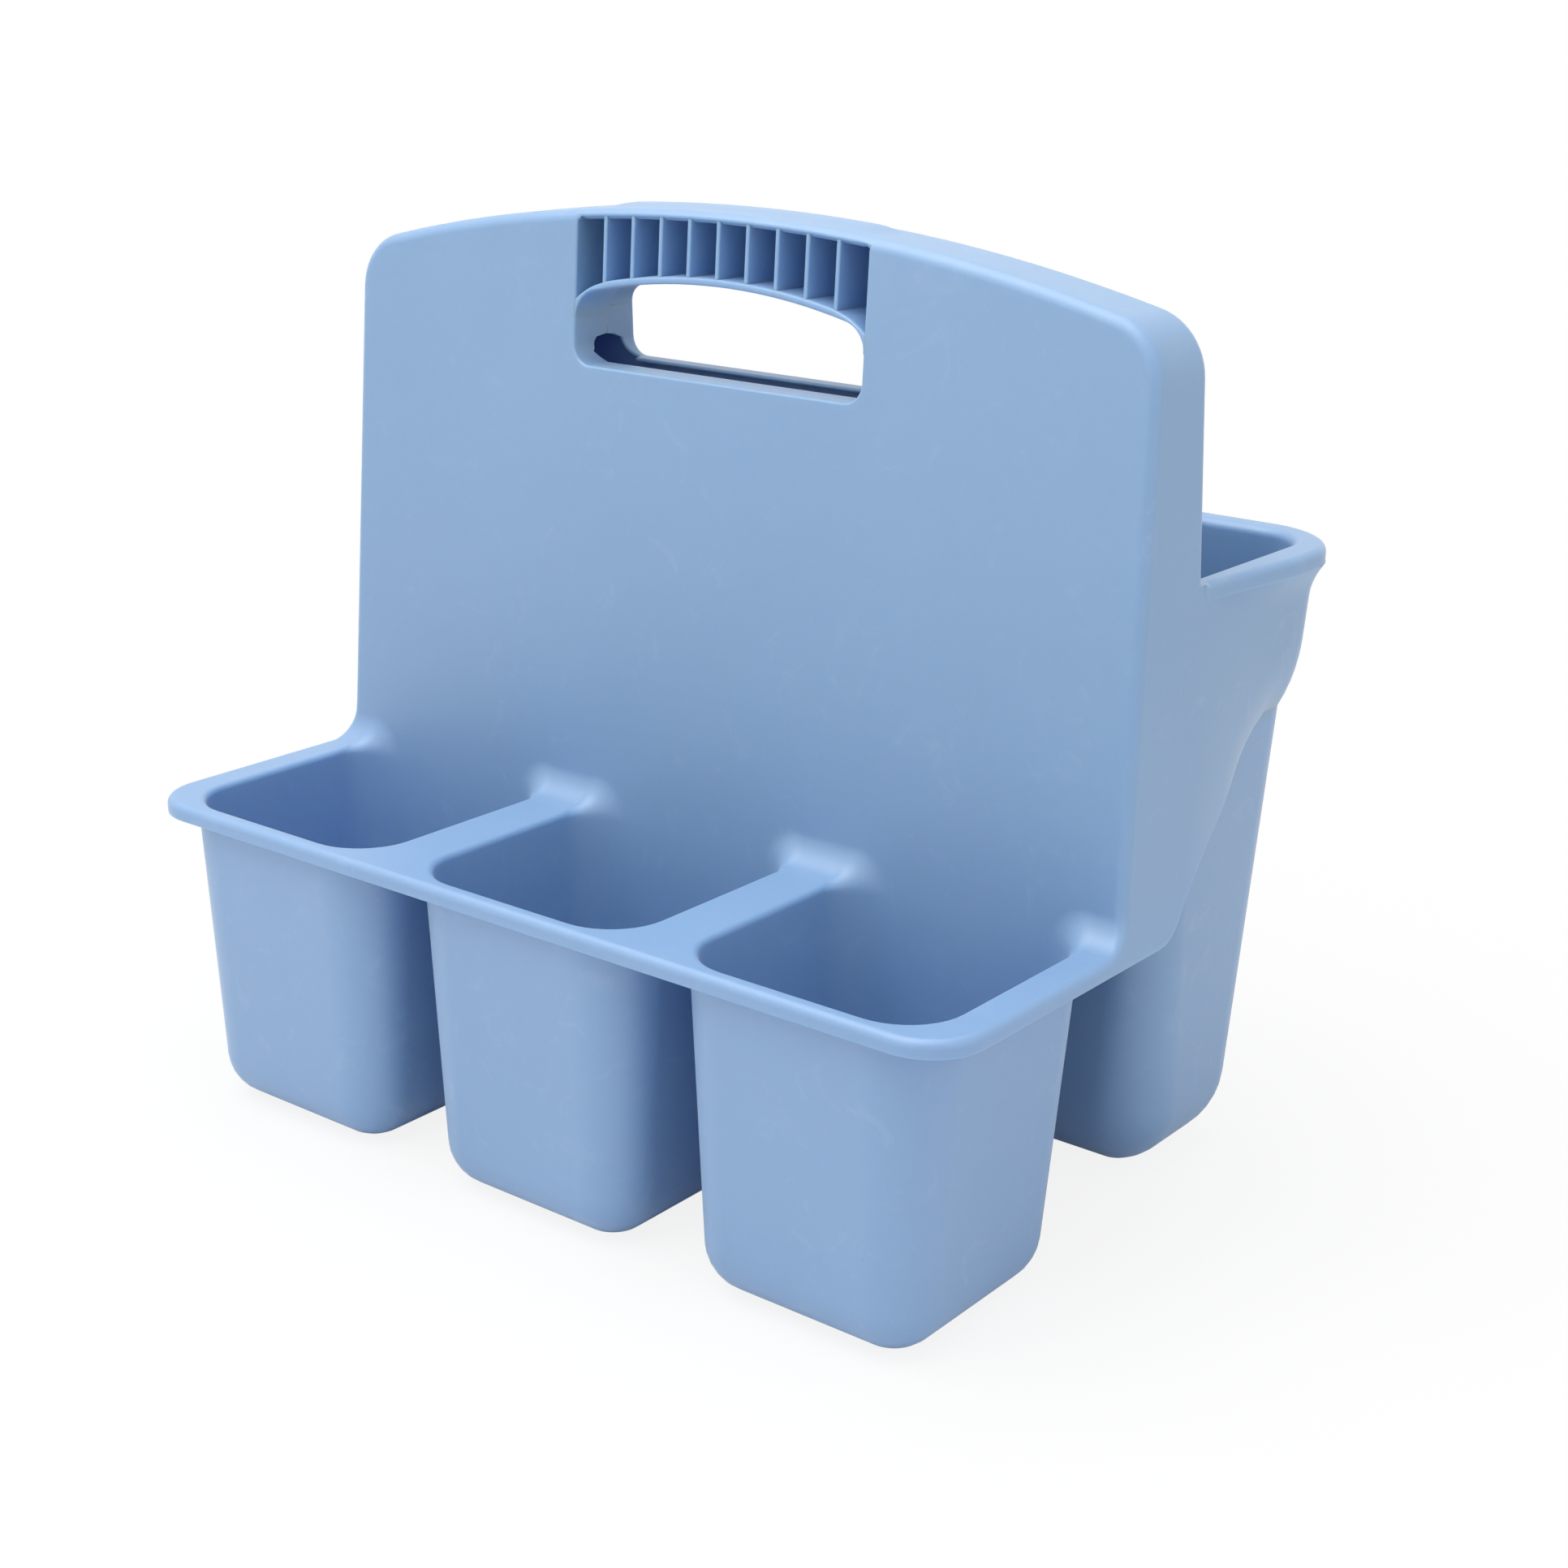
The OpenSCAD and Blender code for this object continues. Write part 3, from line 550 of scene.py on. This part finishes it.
def apron_out(st, z):
    # How far the apron stands off the bin's wall. At the panel it is the panel's side;
    # further back it curls in at its foot and runs out in a hollow below the rim.
    p = ease(progress(st))
    curl = ease((progress(st) - curl_from) / (1 - curl_from))
    low = min(max((st[2] + collar_foot - z) / collar_foot, 0), 1)
    high = max((z - rim_foot_z + collar_hollow) / collar_hollow, 0)
    flat = (side_x(z) - bin_x(z)) * (1 - p) + collar_out * p
    curled = flat * (1 - curl * low ** 2.2)
    lip = (rim_outer(st, rim_foot_z, 0) - bin_point(st, rim_foot_z, 0)).length
    return max(curled + (lip - rim_proud * p - curled) * high ** 1.8 * p, 0.0)


def apron_cut(st):
    # From the flat top of the rim, over its rounding, down its face and the apron
    r = rim_round * ease((st[1] - rim_start) / rim_fade) if st[0] == "side" else rim_round
    cut = [rim_outer(st, rim_z - r * (1 - sind(a)), r * (1 - cosd(a))) for a in steps(90, 0, 5)]
    cut.append(rim_outer(st, rim_foot_z, 0))
    foot = st[2]
    zs = steps(rim_foot_z, rim_foot_z - collar_hollow, 5)
    zs += steps(zs[-1], foot + collar_foot, 6)[1:]
    zs += [foot + collar_foot * cosd(a) for a in steps(0, 90, 8)[1:]]
    return [tuple(p) for p in cut] + [tuple(bin_point(st, z, apron_out(st, z))) for z in zs]


apron = [apron_cut(st) for st in apron_path]
apron += [mirrored(cut) for cut in apron[-2::-1]]
skin.append(sheet(apron))

# Sides of the panel, from the fillet and the rounded edge back to the apron. The
# rows fan out from the deck's lip and lie level from the spread of the side upwards.
across = [(p[1] - band[0][0][1]) / (band[0][-1][1] - band[0][0][1]) for p in band[0]]
near_edge = [cut[-1][1:] for cut in fillet_cuts]
end_zs = []
for p in apron[0][::-1]:
    if not end_zs or p[2] > end_zs[-1] + 0.01:
        end_zs.append(p[2])
skirt_run = [skirt_at(skirt_t0 * k / 5) for k in range(1, 6)]
far_edge = [(y, lip_z) for y in steps(near_edge[0][0], skirt[0][0], len(near_edge) - 1)]
far_edge += skirt_run + [(band_back, z) for z in end_zs[1:]]
near_edge += [cut[-1][1:] for cut in side_cuts]
near_edge += [top_cuts[0][-1][1:]]
for side in (1, -1):
    rows = []
    for near, far in zip(near_edge, far_edge, strict=True):
        # The points share out each row as they do in the band above, up to the last gap
        last = (1 - pad_rear[1] / math.dist(near, far)) / across[-2]
        run = [(near[0] + (far[0] - near[0]) * f, near[1] + (far[1] - near[1]) * f)
               for f in [f * last for f in across[:-1]] + [1.0]]
        rows.append([(side * side_x(z), y, z) for y, z in run])
    # The first row is the end of the lip, which is one step high
    rows[0] = rows[0][:1] * (len(across) - 1) + rows[0][-1:]
    skin.append(sheet(rows))

# Flat top of the rim: one level land from the bin's back up to the panel. Above it
# stands the panel's rear face, in two halves that meet over and under the hand hole.
rim_edge = [cut[0] for cut in apron]
at_corner = next(i for i, st in enumerate(apron_path) if st[0] == "corner") - 1
at_back = next(i for i, st in enumerate(apron_path) if st[0] == "back") - 1
inner_edge = [cut[-1] for cut in mouth_cuts[turn_count:2 * turn_count]]
for flip in (list, mirrored):
    # A small hollow leads from the flat of the rim up into the panel's rear edge
    fillet = [[cut[-1] for cut in mouth_cuts[turn_count - 1::-1]]]
    for a, rise in zip(edge_angles, foot_rise):
        run = []
        for t in turns:
            x, y, z = rear_edge(a, rim_z + rise * (1 - cosd(t)))
            out = 1 - sind(t)
            run.append((x + sind(a) * rise * out, y + cosd(a) * rise * out, z))
        fillet.append(run)
    skin.append(sheet([flip(run) for run in fillet]))
    skin.append(plate(flip(rim_edge[:at_corner + 1] + [inner_edge[0]] + [run[0] for run in fillet])))
    skin.append(plate(flip(rim_edge[at_corner:at_back + 1] + inner_edge[::-1])))
back_land = rim_edge[at_back:len(rim_edge) - at_back]
skin.append(plate(back_land + mirrored(inner_edge[-1:]) + inner_edge[-1:]))
middle = len(outline) // 2
rear_half = [cut[0] for cut in rear_cuts[:middle + 1]]
rear_half += [hole_edge(p) for p in hand_hole]
rear_half.append((0.0, rear(rim_foot_z), rim_foot_z))
rear_half += mouth_cuts[0][1:]
skin.append(plate(rear_half))
skin.append(plate(mirrored(rear_half)[::-1]))

# Sleeve of the grip: its two halves were cored from the front and from the rear,
# and meet in a parting line. The shelves along the sill stop short of each other,
# and the plastic did not quite fill the thin ends of the walls between them.
parting_y = 4.5
# Each entry: height above the sill and the Y where the wall ends there
front_ragged = [(8.2, parting_y), (7.8, 3.5), (7.4, -0.5), (5.7, -2.1), (3.8, -2.2), (3.4, -3.4),
                (1.8, -2.0), (0.4, -1.1), (0.0, -1.5)]
rear_ragged = [(7.5, parting_y - 0.7), (7.1, 9.8), (5.7, 11.0), (2.5, 12.3), (0.1, 14.3), (0.0, 10.8)]
sleeve_step = 0.3


def reach_at(z, table):
    for (z1, y1), (z0, y0) in zip(table, table[1:]):
        if z >= z0:
            return y0 + (y1 - y0) * min(max((z - z0) / (z1 - z0), 0), 1)
    return table[-1][1]


def flange(path, inward, end_of):
    # Each entry of the path is a point on the face and the place of the wall in X and Z
    rows = []
    for (x0, y0, z0), (x, z) in path:
        row = []
        for a in (90, 60, 30, 0):
            e = 1 - cosd(a)
            row.append((x + e * (x0 - x), y0 + inward * window_edge * (1 - sind(a)), z + e * (z0 - z)))
        end = end_of((x, row[-1][1], z))
        row += [(x, row[-1][1] + (end - row[-1][1]) * k / 4, z) for k in range(1, 5)]
        rows.append(row)
    return rows


def front_end(p):
    if p[2] > hole_z + whole_from - 1:
        return rear(p[2]) - wall
    return reach_at(p[2] - hole_z, front_ragged)


def rear_end(p):
    if p[2] > arch_end_z + 0.01:
        return rear(p[2]) - wall
    return reach_at(p[2] - hole_z, rear_ragged)


# The window's walls run up to the crown, round its two upper corners; the crown
# itself ends there with the bare edge of its own wall
corner_points = top_cuts[open_at][1:3] + top_cuts[open_at + 1][2:3]
level = corner_points[-1][2] - window_edge
drops = [(window_x, -0.8), (window_x - 0.25, -0.45), (window_x - 0.8, -0.3)]
corner_rim = [(p, (x, level + dz)) for p, (x, dz) in zip(corner_points, drops)]
window_rim = corner_rim[::-1] + [(p, (x, z)) for p, (x, z, _, _) in zip(window_loop, front_window)]
window_rim += [(mirrored([p])[0], (-x, z)) for p, (x, z) in corner_rim]
skin.append(sheet(flange(window_rim, 1, front_end)))
# The rear half is a shade wider, so the walls of the front half end in a small step
hole_rim = [(hole_edge(p), (p[0] * (1 + sleeve_step / window_x), p[1])) for p in rear_hole]
skin.append(sheet(flange(hole_rim + hole_rim[:1], -1, rear_end)))

# The skin gets its even thickness here, with the small radius that every free
# edge has, and is one piece from the cups to the rim of the bin.
bpy.ops.object.select_all(action="DESELECT")
for patch in skin:
    patch.select_set(True)
bpy.context.view_layer.objects.active = skin[0]
bpy.ops.object.join()
body = bpy.context.object
body.name = "moulded_body"
body.data.name = "moulded_body"
bpy.ops.object.mode_set(mode="EDIT")
bpy.ops.mesh.select_all(action="SELECT")
bpy.ops.mesh.remove_doubles(threshold=0.00002)
bpy.ops.mesh.dissolve_degenerate(threshold=0.000005)
bpy.ops.mesh.select_all(action="SELECT")
bpy.ops.mesh.normals_make_consistent(inside=False)
bpy.ops.object.mode_set(mode="OBJECT")

# The sleeve's walls are about half as thick as the rest
sleeve_share = 0.5
full = body.vertex_groups.new(name="full_wall")
for vertex in body.data.vertices:
    x, y, z = (c / MM for c in vertex.co)
    in_sleeve = (abs(x) < window_x + 0.4 and hole_z - 0.1 < z < arc_z(x, crown_z, crown_r) - 2.0
                 and face(z) + 0.05 < y < rear(z) - 1.5)
    full.add([vertex.index], sleeve_share if in_sleeve else 1.0, "REPLACE")

# The largest face is the front of the panel, and it has to look towards the cups
largest = max(body.data.polygons, key=lambda f: f.area)
if largest.normal.y > 0 and largest.center.y < 0:
    body.data.flip_normals()


def thicken(piece, thickness, edge_r):
    # Walls grow behind the skin; the free edges are found as the rim of that growth
    bpy.ops.object.select_all(action="DESELECT")
    piece.select_set(True)
    bpy.context.view_layer.objects.active = piece
    piece.data.materials.clear()
    piece.data.materials.append(plastic)
    piece.data.materials.append(plastic)
    for polygon in piece.data.polygons:
        polygon.material_index = 0
    grow = piece.modifiers.new("wall", "SOLIDIFY")
    grow.thickness = thickness * MM
    grow.offset = -1
    grow.use_even_offset = True
    grow.thickness_clamp = 0.0
    grow.material_offset_rim = 1
    grow.vertex_group = "full_wall"
    n = len(piece.data.vertices)
    bpy.ops.object.modifier_apply(modifier="wall")
    # Where faces meet at a sharp angle the inner skin would shoot past the wall
    limit = 1.8 * thickness * MM
    for outer, inner in zip(piece.data.vertices[:n], piece.data.vertices[n:2 * n]):
        reach = inner.co - outer.co
        if reach.length > limit:
            inner.co = outer.co + reach * (limit / reach.length)
    bpy.ops.object.mode_set(mode="EDIT")
    bpy.ops.mesh.select_mode(type="FACE")
    bpy.ops.mesh.select_all(action="DESELECT")
    piece.active_material_index = 1
    bpy.ops.object.material_slot_select()
    bpy.ops.mesh.region_to_loop()
    bpy.ops.mesh.bevel(offset=edge_r * MM, offset_type="OFFSET", segments=3,
                       clamp_overlap=False, material=0)
    bpy.ops.mesh.select_all(action="SELECT")
    piece.active_material_index = 0
    bpy.ops.object.material_slot_assign()
    bpy.ops.object.mode_set(mode="OBJECT")
    piece.active_material_index = 1
    bpy.ops.object.material_slot_remove()
    bpy.ops.object.shade_smooth_by_angle(angle=math.radians(35))
    even = piece.modifiers.new("even", "WEIGHTED_NORMAL")
    even.keep_sharp = True
    even.weight = 90
    bpy.ops.object.modifier_apply(modifier="even")


# Finish of the plastic: a satin steel mould left it smooth with a fine grain. Use
# has dulled it unevenly and left fine rubs and a few specks of dirt.
plastic = bpy.data.materials.new("light_blue_polypropylene")
plastic.use_nodes = True
nodes, links = plastic.node_tree.nodes, plastic.node_tree.links
shader = nodes["Principled BSDF"]
for name, value in (("IOR", 1.49), ("Specular IOR Level", 1.0),
                    ("Coat Weight", 0.8), ("Coat Roughness", 0.55),
                    ("Sheen Weight", 0.2), ("Sheen Roughness", 0.35),
                    ("Subsurface Weight", 0.5), ("Subsurface Scale", 0.006),
                    ("Subsurface Radius", (0.3, 0.6, 1.0))):
    shader.inputs[name].default_value = value
coords = nodes.new("ShaderNodeTexCoord")


def pattern(kind, scale, **sockets):
    # A texture that is fixed to the piece
    node = nodes.new(kind)
    links.new(coords.outputs["Object"], node.inputs["Vector"])
    node.inputs["Scale"].default_value = scale
    for name, value in sockets.items():
        node.inputs[name].default_value = value
    return node


def spread_over(source, low, high, to_low, to_high):
    # Stretches the source's span from low to high over a new span
    node = nodes.new("ShaderNodeMapRange")
    for name, value in (("From Min", low), ("From Max", high), ("To Min", to_low), ("To Max", to_high)):
        node.inputs[name].default_value = value
    links.new(source, node.inputs["Value"])
    return node.outputs["Result"]


def tint(factor, below, above):
    # Passes from the colour below to the colour above as the factor goes from 0 to 1
    node = nodes.new("ShaderNodeMix")
    node.data_type = "RGBA"
    links.new(factor, node.inputs["Factor"])
    for socket, value in (("A", below), ("B", above)):
        inlet = next(i for i in node.inputs if i.name == socket and i.type == "RGBA")
        if isinstance(value, tuple):
            inlet.default_value = (*value, 1.0)
        else:
            links.new(value, inlet)
    return next(o for o in node.outputs if o.type == "RGBA")


cloud = pattern("ShaderNodeTexNoise", 9.0, Detail=3.0, Roughness=0.55)
grain = pattern("ShaderNodeTexNoise", 900.0, Detail=2.0, Roughness=0.6)
rubs = pattern("ShaderNodeTexNoise", 60.0, Detail=6.0, Roughness=0.7, Distortion=1.5)
dots = pattern("ShaderNodeTexVoronoi", 42.0)
deep_blue, clear_blue = (0.18, 0.338, 0.563), (0.205, 0.363, 0.593)
rub_blue, dirt = (0.30, 0.44, 0.66), (0.03, 0.05, 0.12)
cloud_at = spread_over(cloud.outputs["Fac"], 0.3, 0.7, 0.0, 1.0)
blue = tint(cloud_at, deep_blue, clear_blue)
rub_at = spread_over(rubs.outputs["Fac"], 0.57, 0.75, 0.0, 0.45)
blue = tint(rub_at, blue, rub_blue)
dot_at = spread_over(dots.outputs["Distance"], 0.012, 0.02, 0.6, 0.0)
blue = tint(dot_at, blue, dirt)
links.new(blue, shader.inputs["Base Color"])
links.new(spread_over(cloud.outputs["Fac"], 0.3, 0.7, 0.48, 0.58), shader.inputs["Roughness"])
bump = nodes.new("ShaderNodeBump")
bump.inputs["Strength"].default_value = 0.08
bump.inputs["Distance"].default_value = 0.0002
links.new(grain.outputs["Fac"], bump.inputs["Height"])
links.new(bump.outputs["Normal"], shader.inputs["Normal"])

free_edge_r = 0.6
thicken(body, wall, free_edge_r)
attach(body, "root")
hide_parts("front_cup_left", "front_cup_middle", "front_cup_right", "deck_rim", "deck_plate",
            "panel_front_wall", "panel_shoulder_left", "panel_shoulder_right", "panel_rear_wall",
            "panel_edge_band", "side_skirt_left", "side_skirt_right", "rear_bin", "bin_collar", "rear_rim")

# Arch over the fingers: the roof of the hand hole, as deep as the panel. It runs
# into the sleeve's walls through a wide hollow, and the cores met halfway under it.
arch_top_z, arch_r, arch_mid_x, arch_end_r = top - 19.9, 220.0, 42.0, 30.0
turn = math.degrees(math.asin(arch_mid_x / arch_r))
end_mid = (arch_mid_x - arch_end_r * sind(turn),
           arch_top_z - arch_r * (1 - cosd(turn)) - arch_end_r * cosd(turn))
recess, overlap = 0.2, 0.1
round_mid, round_end = 0.2, 0.7


def arch_upper(x):
    # Height of the arch's upper side: one arc, and a tighter one from arch_mid_x outwards
    if abs(x) <= arch_mid_x:
        return arc_z(x, arch_top_z, arch_r)
    return end_mid[1] + math.sqrt(max(arch_end_r ** 2 - (abs(x) - end_mid[0]) ** 2, 0))


# The corners are a little wider in the front half than in the rear half, and the
# ends of the arch run on into the window's walls
halves = []
for r in (9.0, hole_corner):
    under = [(x, z) for x, z, _, _ in under_arch(r)]
    under.append((window_x + 0.9, under[-1][1] - 0.4))
    halves.append([(-x, z) for x, z in under[:0:-1]] + under)
arch_rows = []
for (xf, zf), (xr, zr) in zip(*halves):
    over_z = arch_upper(max(min(xf, window_x), -window_x))
    y0, y1 = face(zf) + recess, rear(zr) - wall + overlap
    lower = [(xf, y0, zf + round_end), (xf, y0 + round_mid, zf + round_mid), (xf, y0 + round_end, zf),
             (xf, parting_y - 0.4, zf), (xf, parting_y, zf + 0.1), (xr, parting_y + 0.1, zr), (xr, y1, zr)]
    y0, y1 = face(over_z) + recess, rear(over_z) - wall + overlap
    upper = [(xf, y1, over_z), (xf, y0 + round_end, over_z),
             (xf, y0 + round_mid, over_z - round_mid), (xf, y0, over_z - round_end)]
    arch_rows.append(lower + upper + lower[:1])
arch = sheet(arch_rows)
ends = [plate(arch_rows[0][:-1]), plate(arch_rows[-1][:-1])]


def finish_solid(piece, name, angle):
    bpy.context.view_layer.objects.active = piece
    bpy.ops.object.mode_set(mode="EDIT")
    bpy.ops.mesh.select_all(action="SELECT")
    bpy.ops.mesh.remove_doubles(threshold=0.00001)
    bpy.ops.mesh.normals_make_consistent(inside=False)
    bpy.ops.object.mode_set(mode="OBJECT")
    bpy.ops.object.shade_smooth_by_angle(angle=math.radians(angle))
    piece.name = name
    piece.data.name = name
    piece.data.materials.clear()
    piece.data.materials.append(plastic)
    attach(piece, "root")


bpy.ops.object.select_all(action="DESELECT")
for patch in (arch, *ends):
    patch.select_set(True)
bpy.context.view_layer.objects.active = arch
bpy.ops.object.join()
finish_solid(arch, "finger_arch", 50)
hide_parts("grip_arch")

# Ribs of the grip: nine thin plates between the arch and the crown, which keep the
# grip stiff and leave ten open cells. Their front edges are rounded by the cutter.
rib_count, rib_t, rib_round = 9, 1.4, 0.5
rib_pitch = 2 * window_x / (rib_count + 1)
ribs = []
for i in range(1, rib_count + 1):
    x = -window_x + i * rib_pitch
    z0, z1 = arch_upper(x) - 0.8, arc_z(x, crown_z, crown_r) - 2.3
    y0, y1 = face(z1) + 0.6, rear(z1) - wall + 0.4
    middle_y, middle_z = (y0 + y1) / 2 * MM, (z0 + z1) / 2 * MM
    bpy.ops.object.select_all(action="DESELECT")
    bpy.ops.mesh.primitive_cube_add(size=1, location=(x * MM, middle_y, middle_z),
                                    scale=(rib_t * MM, (y1 - y0) * MM, (z1 - z0) * MM))
    rib = bpy.context.object
    bpy.ops.object.transform_apply(location=True, rotation=True, scale=True)
    bpy.ops.object.mode_set(mode="EDIT")
    bpy.ops.mesh.select_mode(type="EDGE")
    bpy.ops.mesh.select_all(action="DESELECT")
    bpy.ops.object.mode_set(mode="OBJECT")
    # The rib is deeper at its foot, because the faces of the panel lean towards each other
    for vertex in rib.data.vertices:
        if vertex.co.z < middle_z:
            vertex.co.y -= (face(z1) - face(z0)) * MM if vertex.co.y < middle_y else 0
            vertex.co.y += (rear(z0) - rear(z1)) * MM if vertex.co.y > middle_y else 0
    for edge in rib.data.edges:
        a, b = [rib.data.vertices[k].co for k in edge.vertices]
        edge.select = a.y < middle_y and b.y < middle_y and abs(a.z - b.z) > 0.005
    bpy.ops.object.mode_set(mode="EDIT")
    bpy.ops.mesh.bevel(offset=rib_round * MM, segments=4, clamp_overlap=True)
    bpy.ops.object.mode_set(mode="OBJECT")
    ribs.append(rib)
bpy.ops.object.select_all(action="DESELECT")
for rib in ribs:
    rib.select_set(True)
bpy.context.view_layer.objects.active = ribs[0]
bpy.ops.object.join()
finish_solid(bpy.context.object, "grip_cell_ribs", 40)
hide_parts("grip_ribs")

# Studio: a wide pale floor, an even white surround, one large soft lamp overhead
# and two weaker ones from the front left and from the right.
bpy.ops.object.select_all(action="DESELECT")
bpy.ops.mesh.primitive_plane_add(size=6.0)
floor = bpy.context.object
floor.name = "studio_floor"
paper = bpy.data.materials.new("studio_paper")
paper.use_nodes = True
nodes, links = paper.node_tree.nodes, paper.node_tree.links
nodes["Principled BSDF"].inputs["Base Color"].default_value = (0.82, 0.82, 0.82, 1)
nodes["Principled BSDF"].inputs["Roughness"].default_value = 0.9
seen = nodes.new("ShaderNodeLightPath")
glow = nodes.new("ShaderNodeEmission")
glow.inputs["Strength"].default_value = 1.0
blend = nodes.new("ShaderNodeMixShader")
place = nodes.new("ShaderNodeTexCoord")
from_caddy = nodes.new("ShaderNodeVectorMath")
from_caddy.operation = "LENGTH"
links.new(place.outputs["Object"], from_caddy.inputs[0])
fade = nodes.new("ShaderNodeMapRange")
fade.interpolation_type = "SMOOTHSTEP"
for name, value in (("From Min", 0.18), ("From Max", 0.5), ("To Min", 0.86), ("To Max", 1.0)):
    fade.inputs[name].default_value = value
links.new(from_caddy.outputs["Value"], fade.inputs["Value"])
share = nodes.new("ShaderNodeMath")
share.operation = "MULTIPLY"
links.new(fade.outputs["Result"], share.inputs[1])
links.new(seen.outputs["Is Camera Ray"], share.inputs[0])
links.new(share.outputs["Value"], blend.inputs["Fac"])
links.new(nodes["Principled BSDF"].outputs["BSDF"], blend.inputs[1])
links.new(glow.outputs["Emission"], blend.inputs[2])
links.new(blend.outputs["Shader"], nodes["Material Output"].inputs["Surface"])
floor.data.materials.append(paper)

world = bpy.data.worlds.new("studio_surround")
bpy.context.scene.world = world
world.use_nodes = True
nodes, links = world.node_tree.nodes, world.node_tree.links
sky = nodes["Background"]
sky.inputs["Color"].default_value = (1, 1, 1, 1)
seen = nodes.new("ShaderNodeLightPath")
direct = nodes.new("ShaderNodeMath")
direct.operation = "MAXIMUM"
links.new(seen.outputs["Is Camera Ray"], direct.inputs[0])
links.new(seen.outputs["Is Glossy Ray"], direct.inputs[1])
bright = nodes.new("ShaderNodeMapRange")
bright.inputs["To Min"].default_value = 0.52
bright.inputs["To Max"].default_value = 1.0
links.new(direct.outputs["Value"], bright.inputs["Value"])
links.new(bright.outputs["Result"], sky.inputs["Strength"])


def lamp(name, size, power, place, aim):
    data = bpy.data.lights.new(name, "AREA")
    data.size = size
    data.energy = power
    item = bpy.data.objects.new(name, data)
    bpy.context.collection.objects.link(item)
    item.location = place
    item.rotation_euler = (Vector(aim) - Vector(place)).to_track_quat("-Z", "Y").to_euler()


lamp("overhead_softbox", 1.6, 27.0, (-0.25, -0.4, 1.7), (0, 0, 0.1))
lamp("front_softbox", 1.2, 3.0, (-0.6, -1.6, 0.7), (0, 0, 0.12))
lamp("side_softbox", 1.4, 4.0, (1.7, -0.1, 0.6), (0, 0, 0.15))

# Camera: a normal lens at arm's length, a little above the caddy and to its right.
# It is tipped sideways by a degree, as a camera in the hand is.
lens = bpy.data.cameras.new("camera")
lens.lens = 57.326
lens.sensor_width = 36.0
lens.shift_x = -0.00933
lens.shift_y = 0.00751
camera = bpy.data.objects.new("camera", lens)
bpy.context.collection.objects.link(camera)
eye = (0.473955, -0.58654, 0.363404)
heading, tilt, roll = [math.radians(a) for a in (37.3137, 71.4928, 1.12554)]
camera.matrix_world = (Matrix.Translation(eye) @ Matrix.Rotation(heading, 4, "Z")
                       @ Matrix.Rotation(tilt, 4, "X") @ Matrix.Rotation(roll, 4, "Z"))
bpy.context.scene.camera = camera
bpy.context.scene.view_settings.view_transform = "Standard"
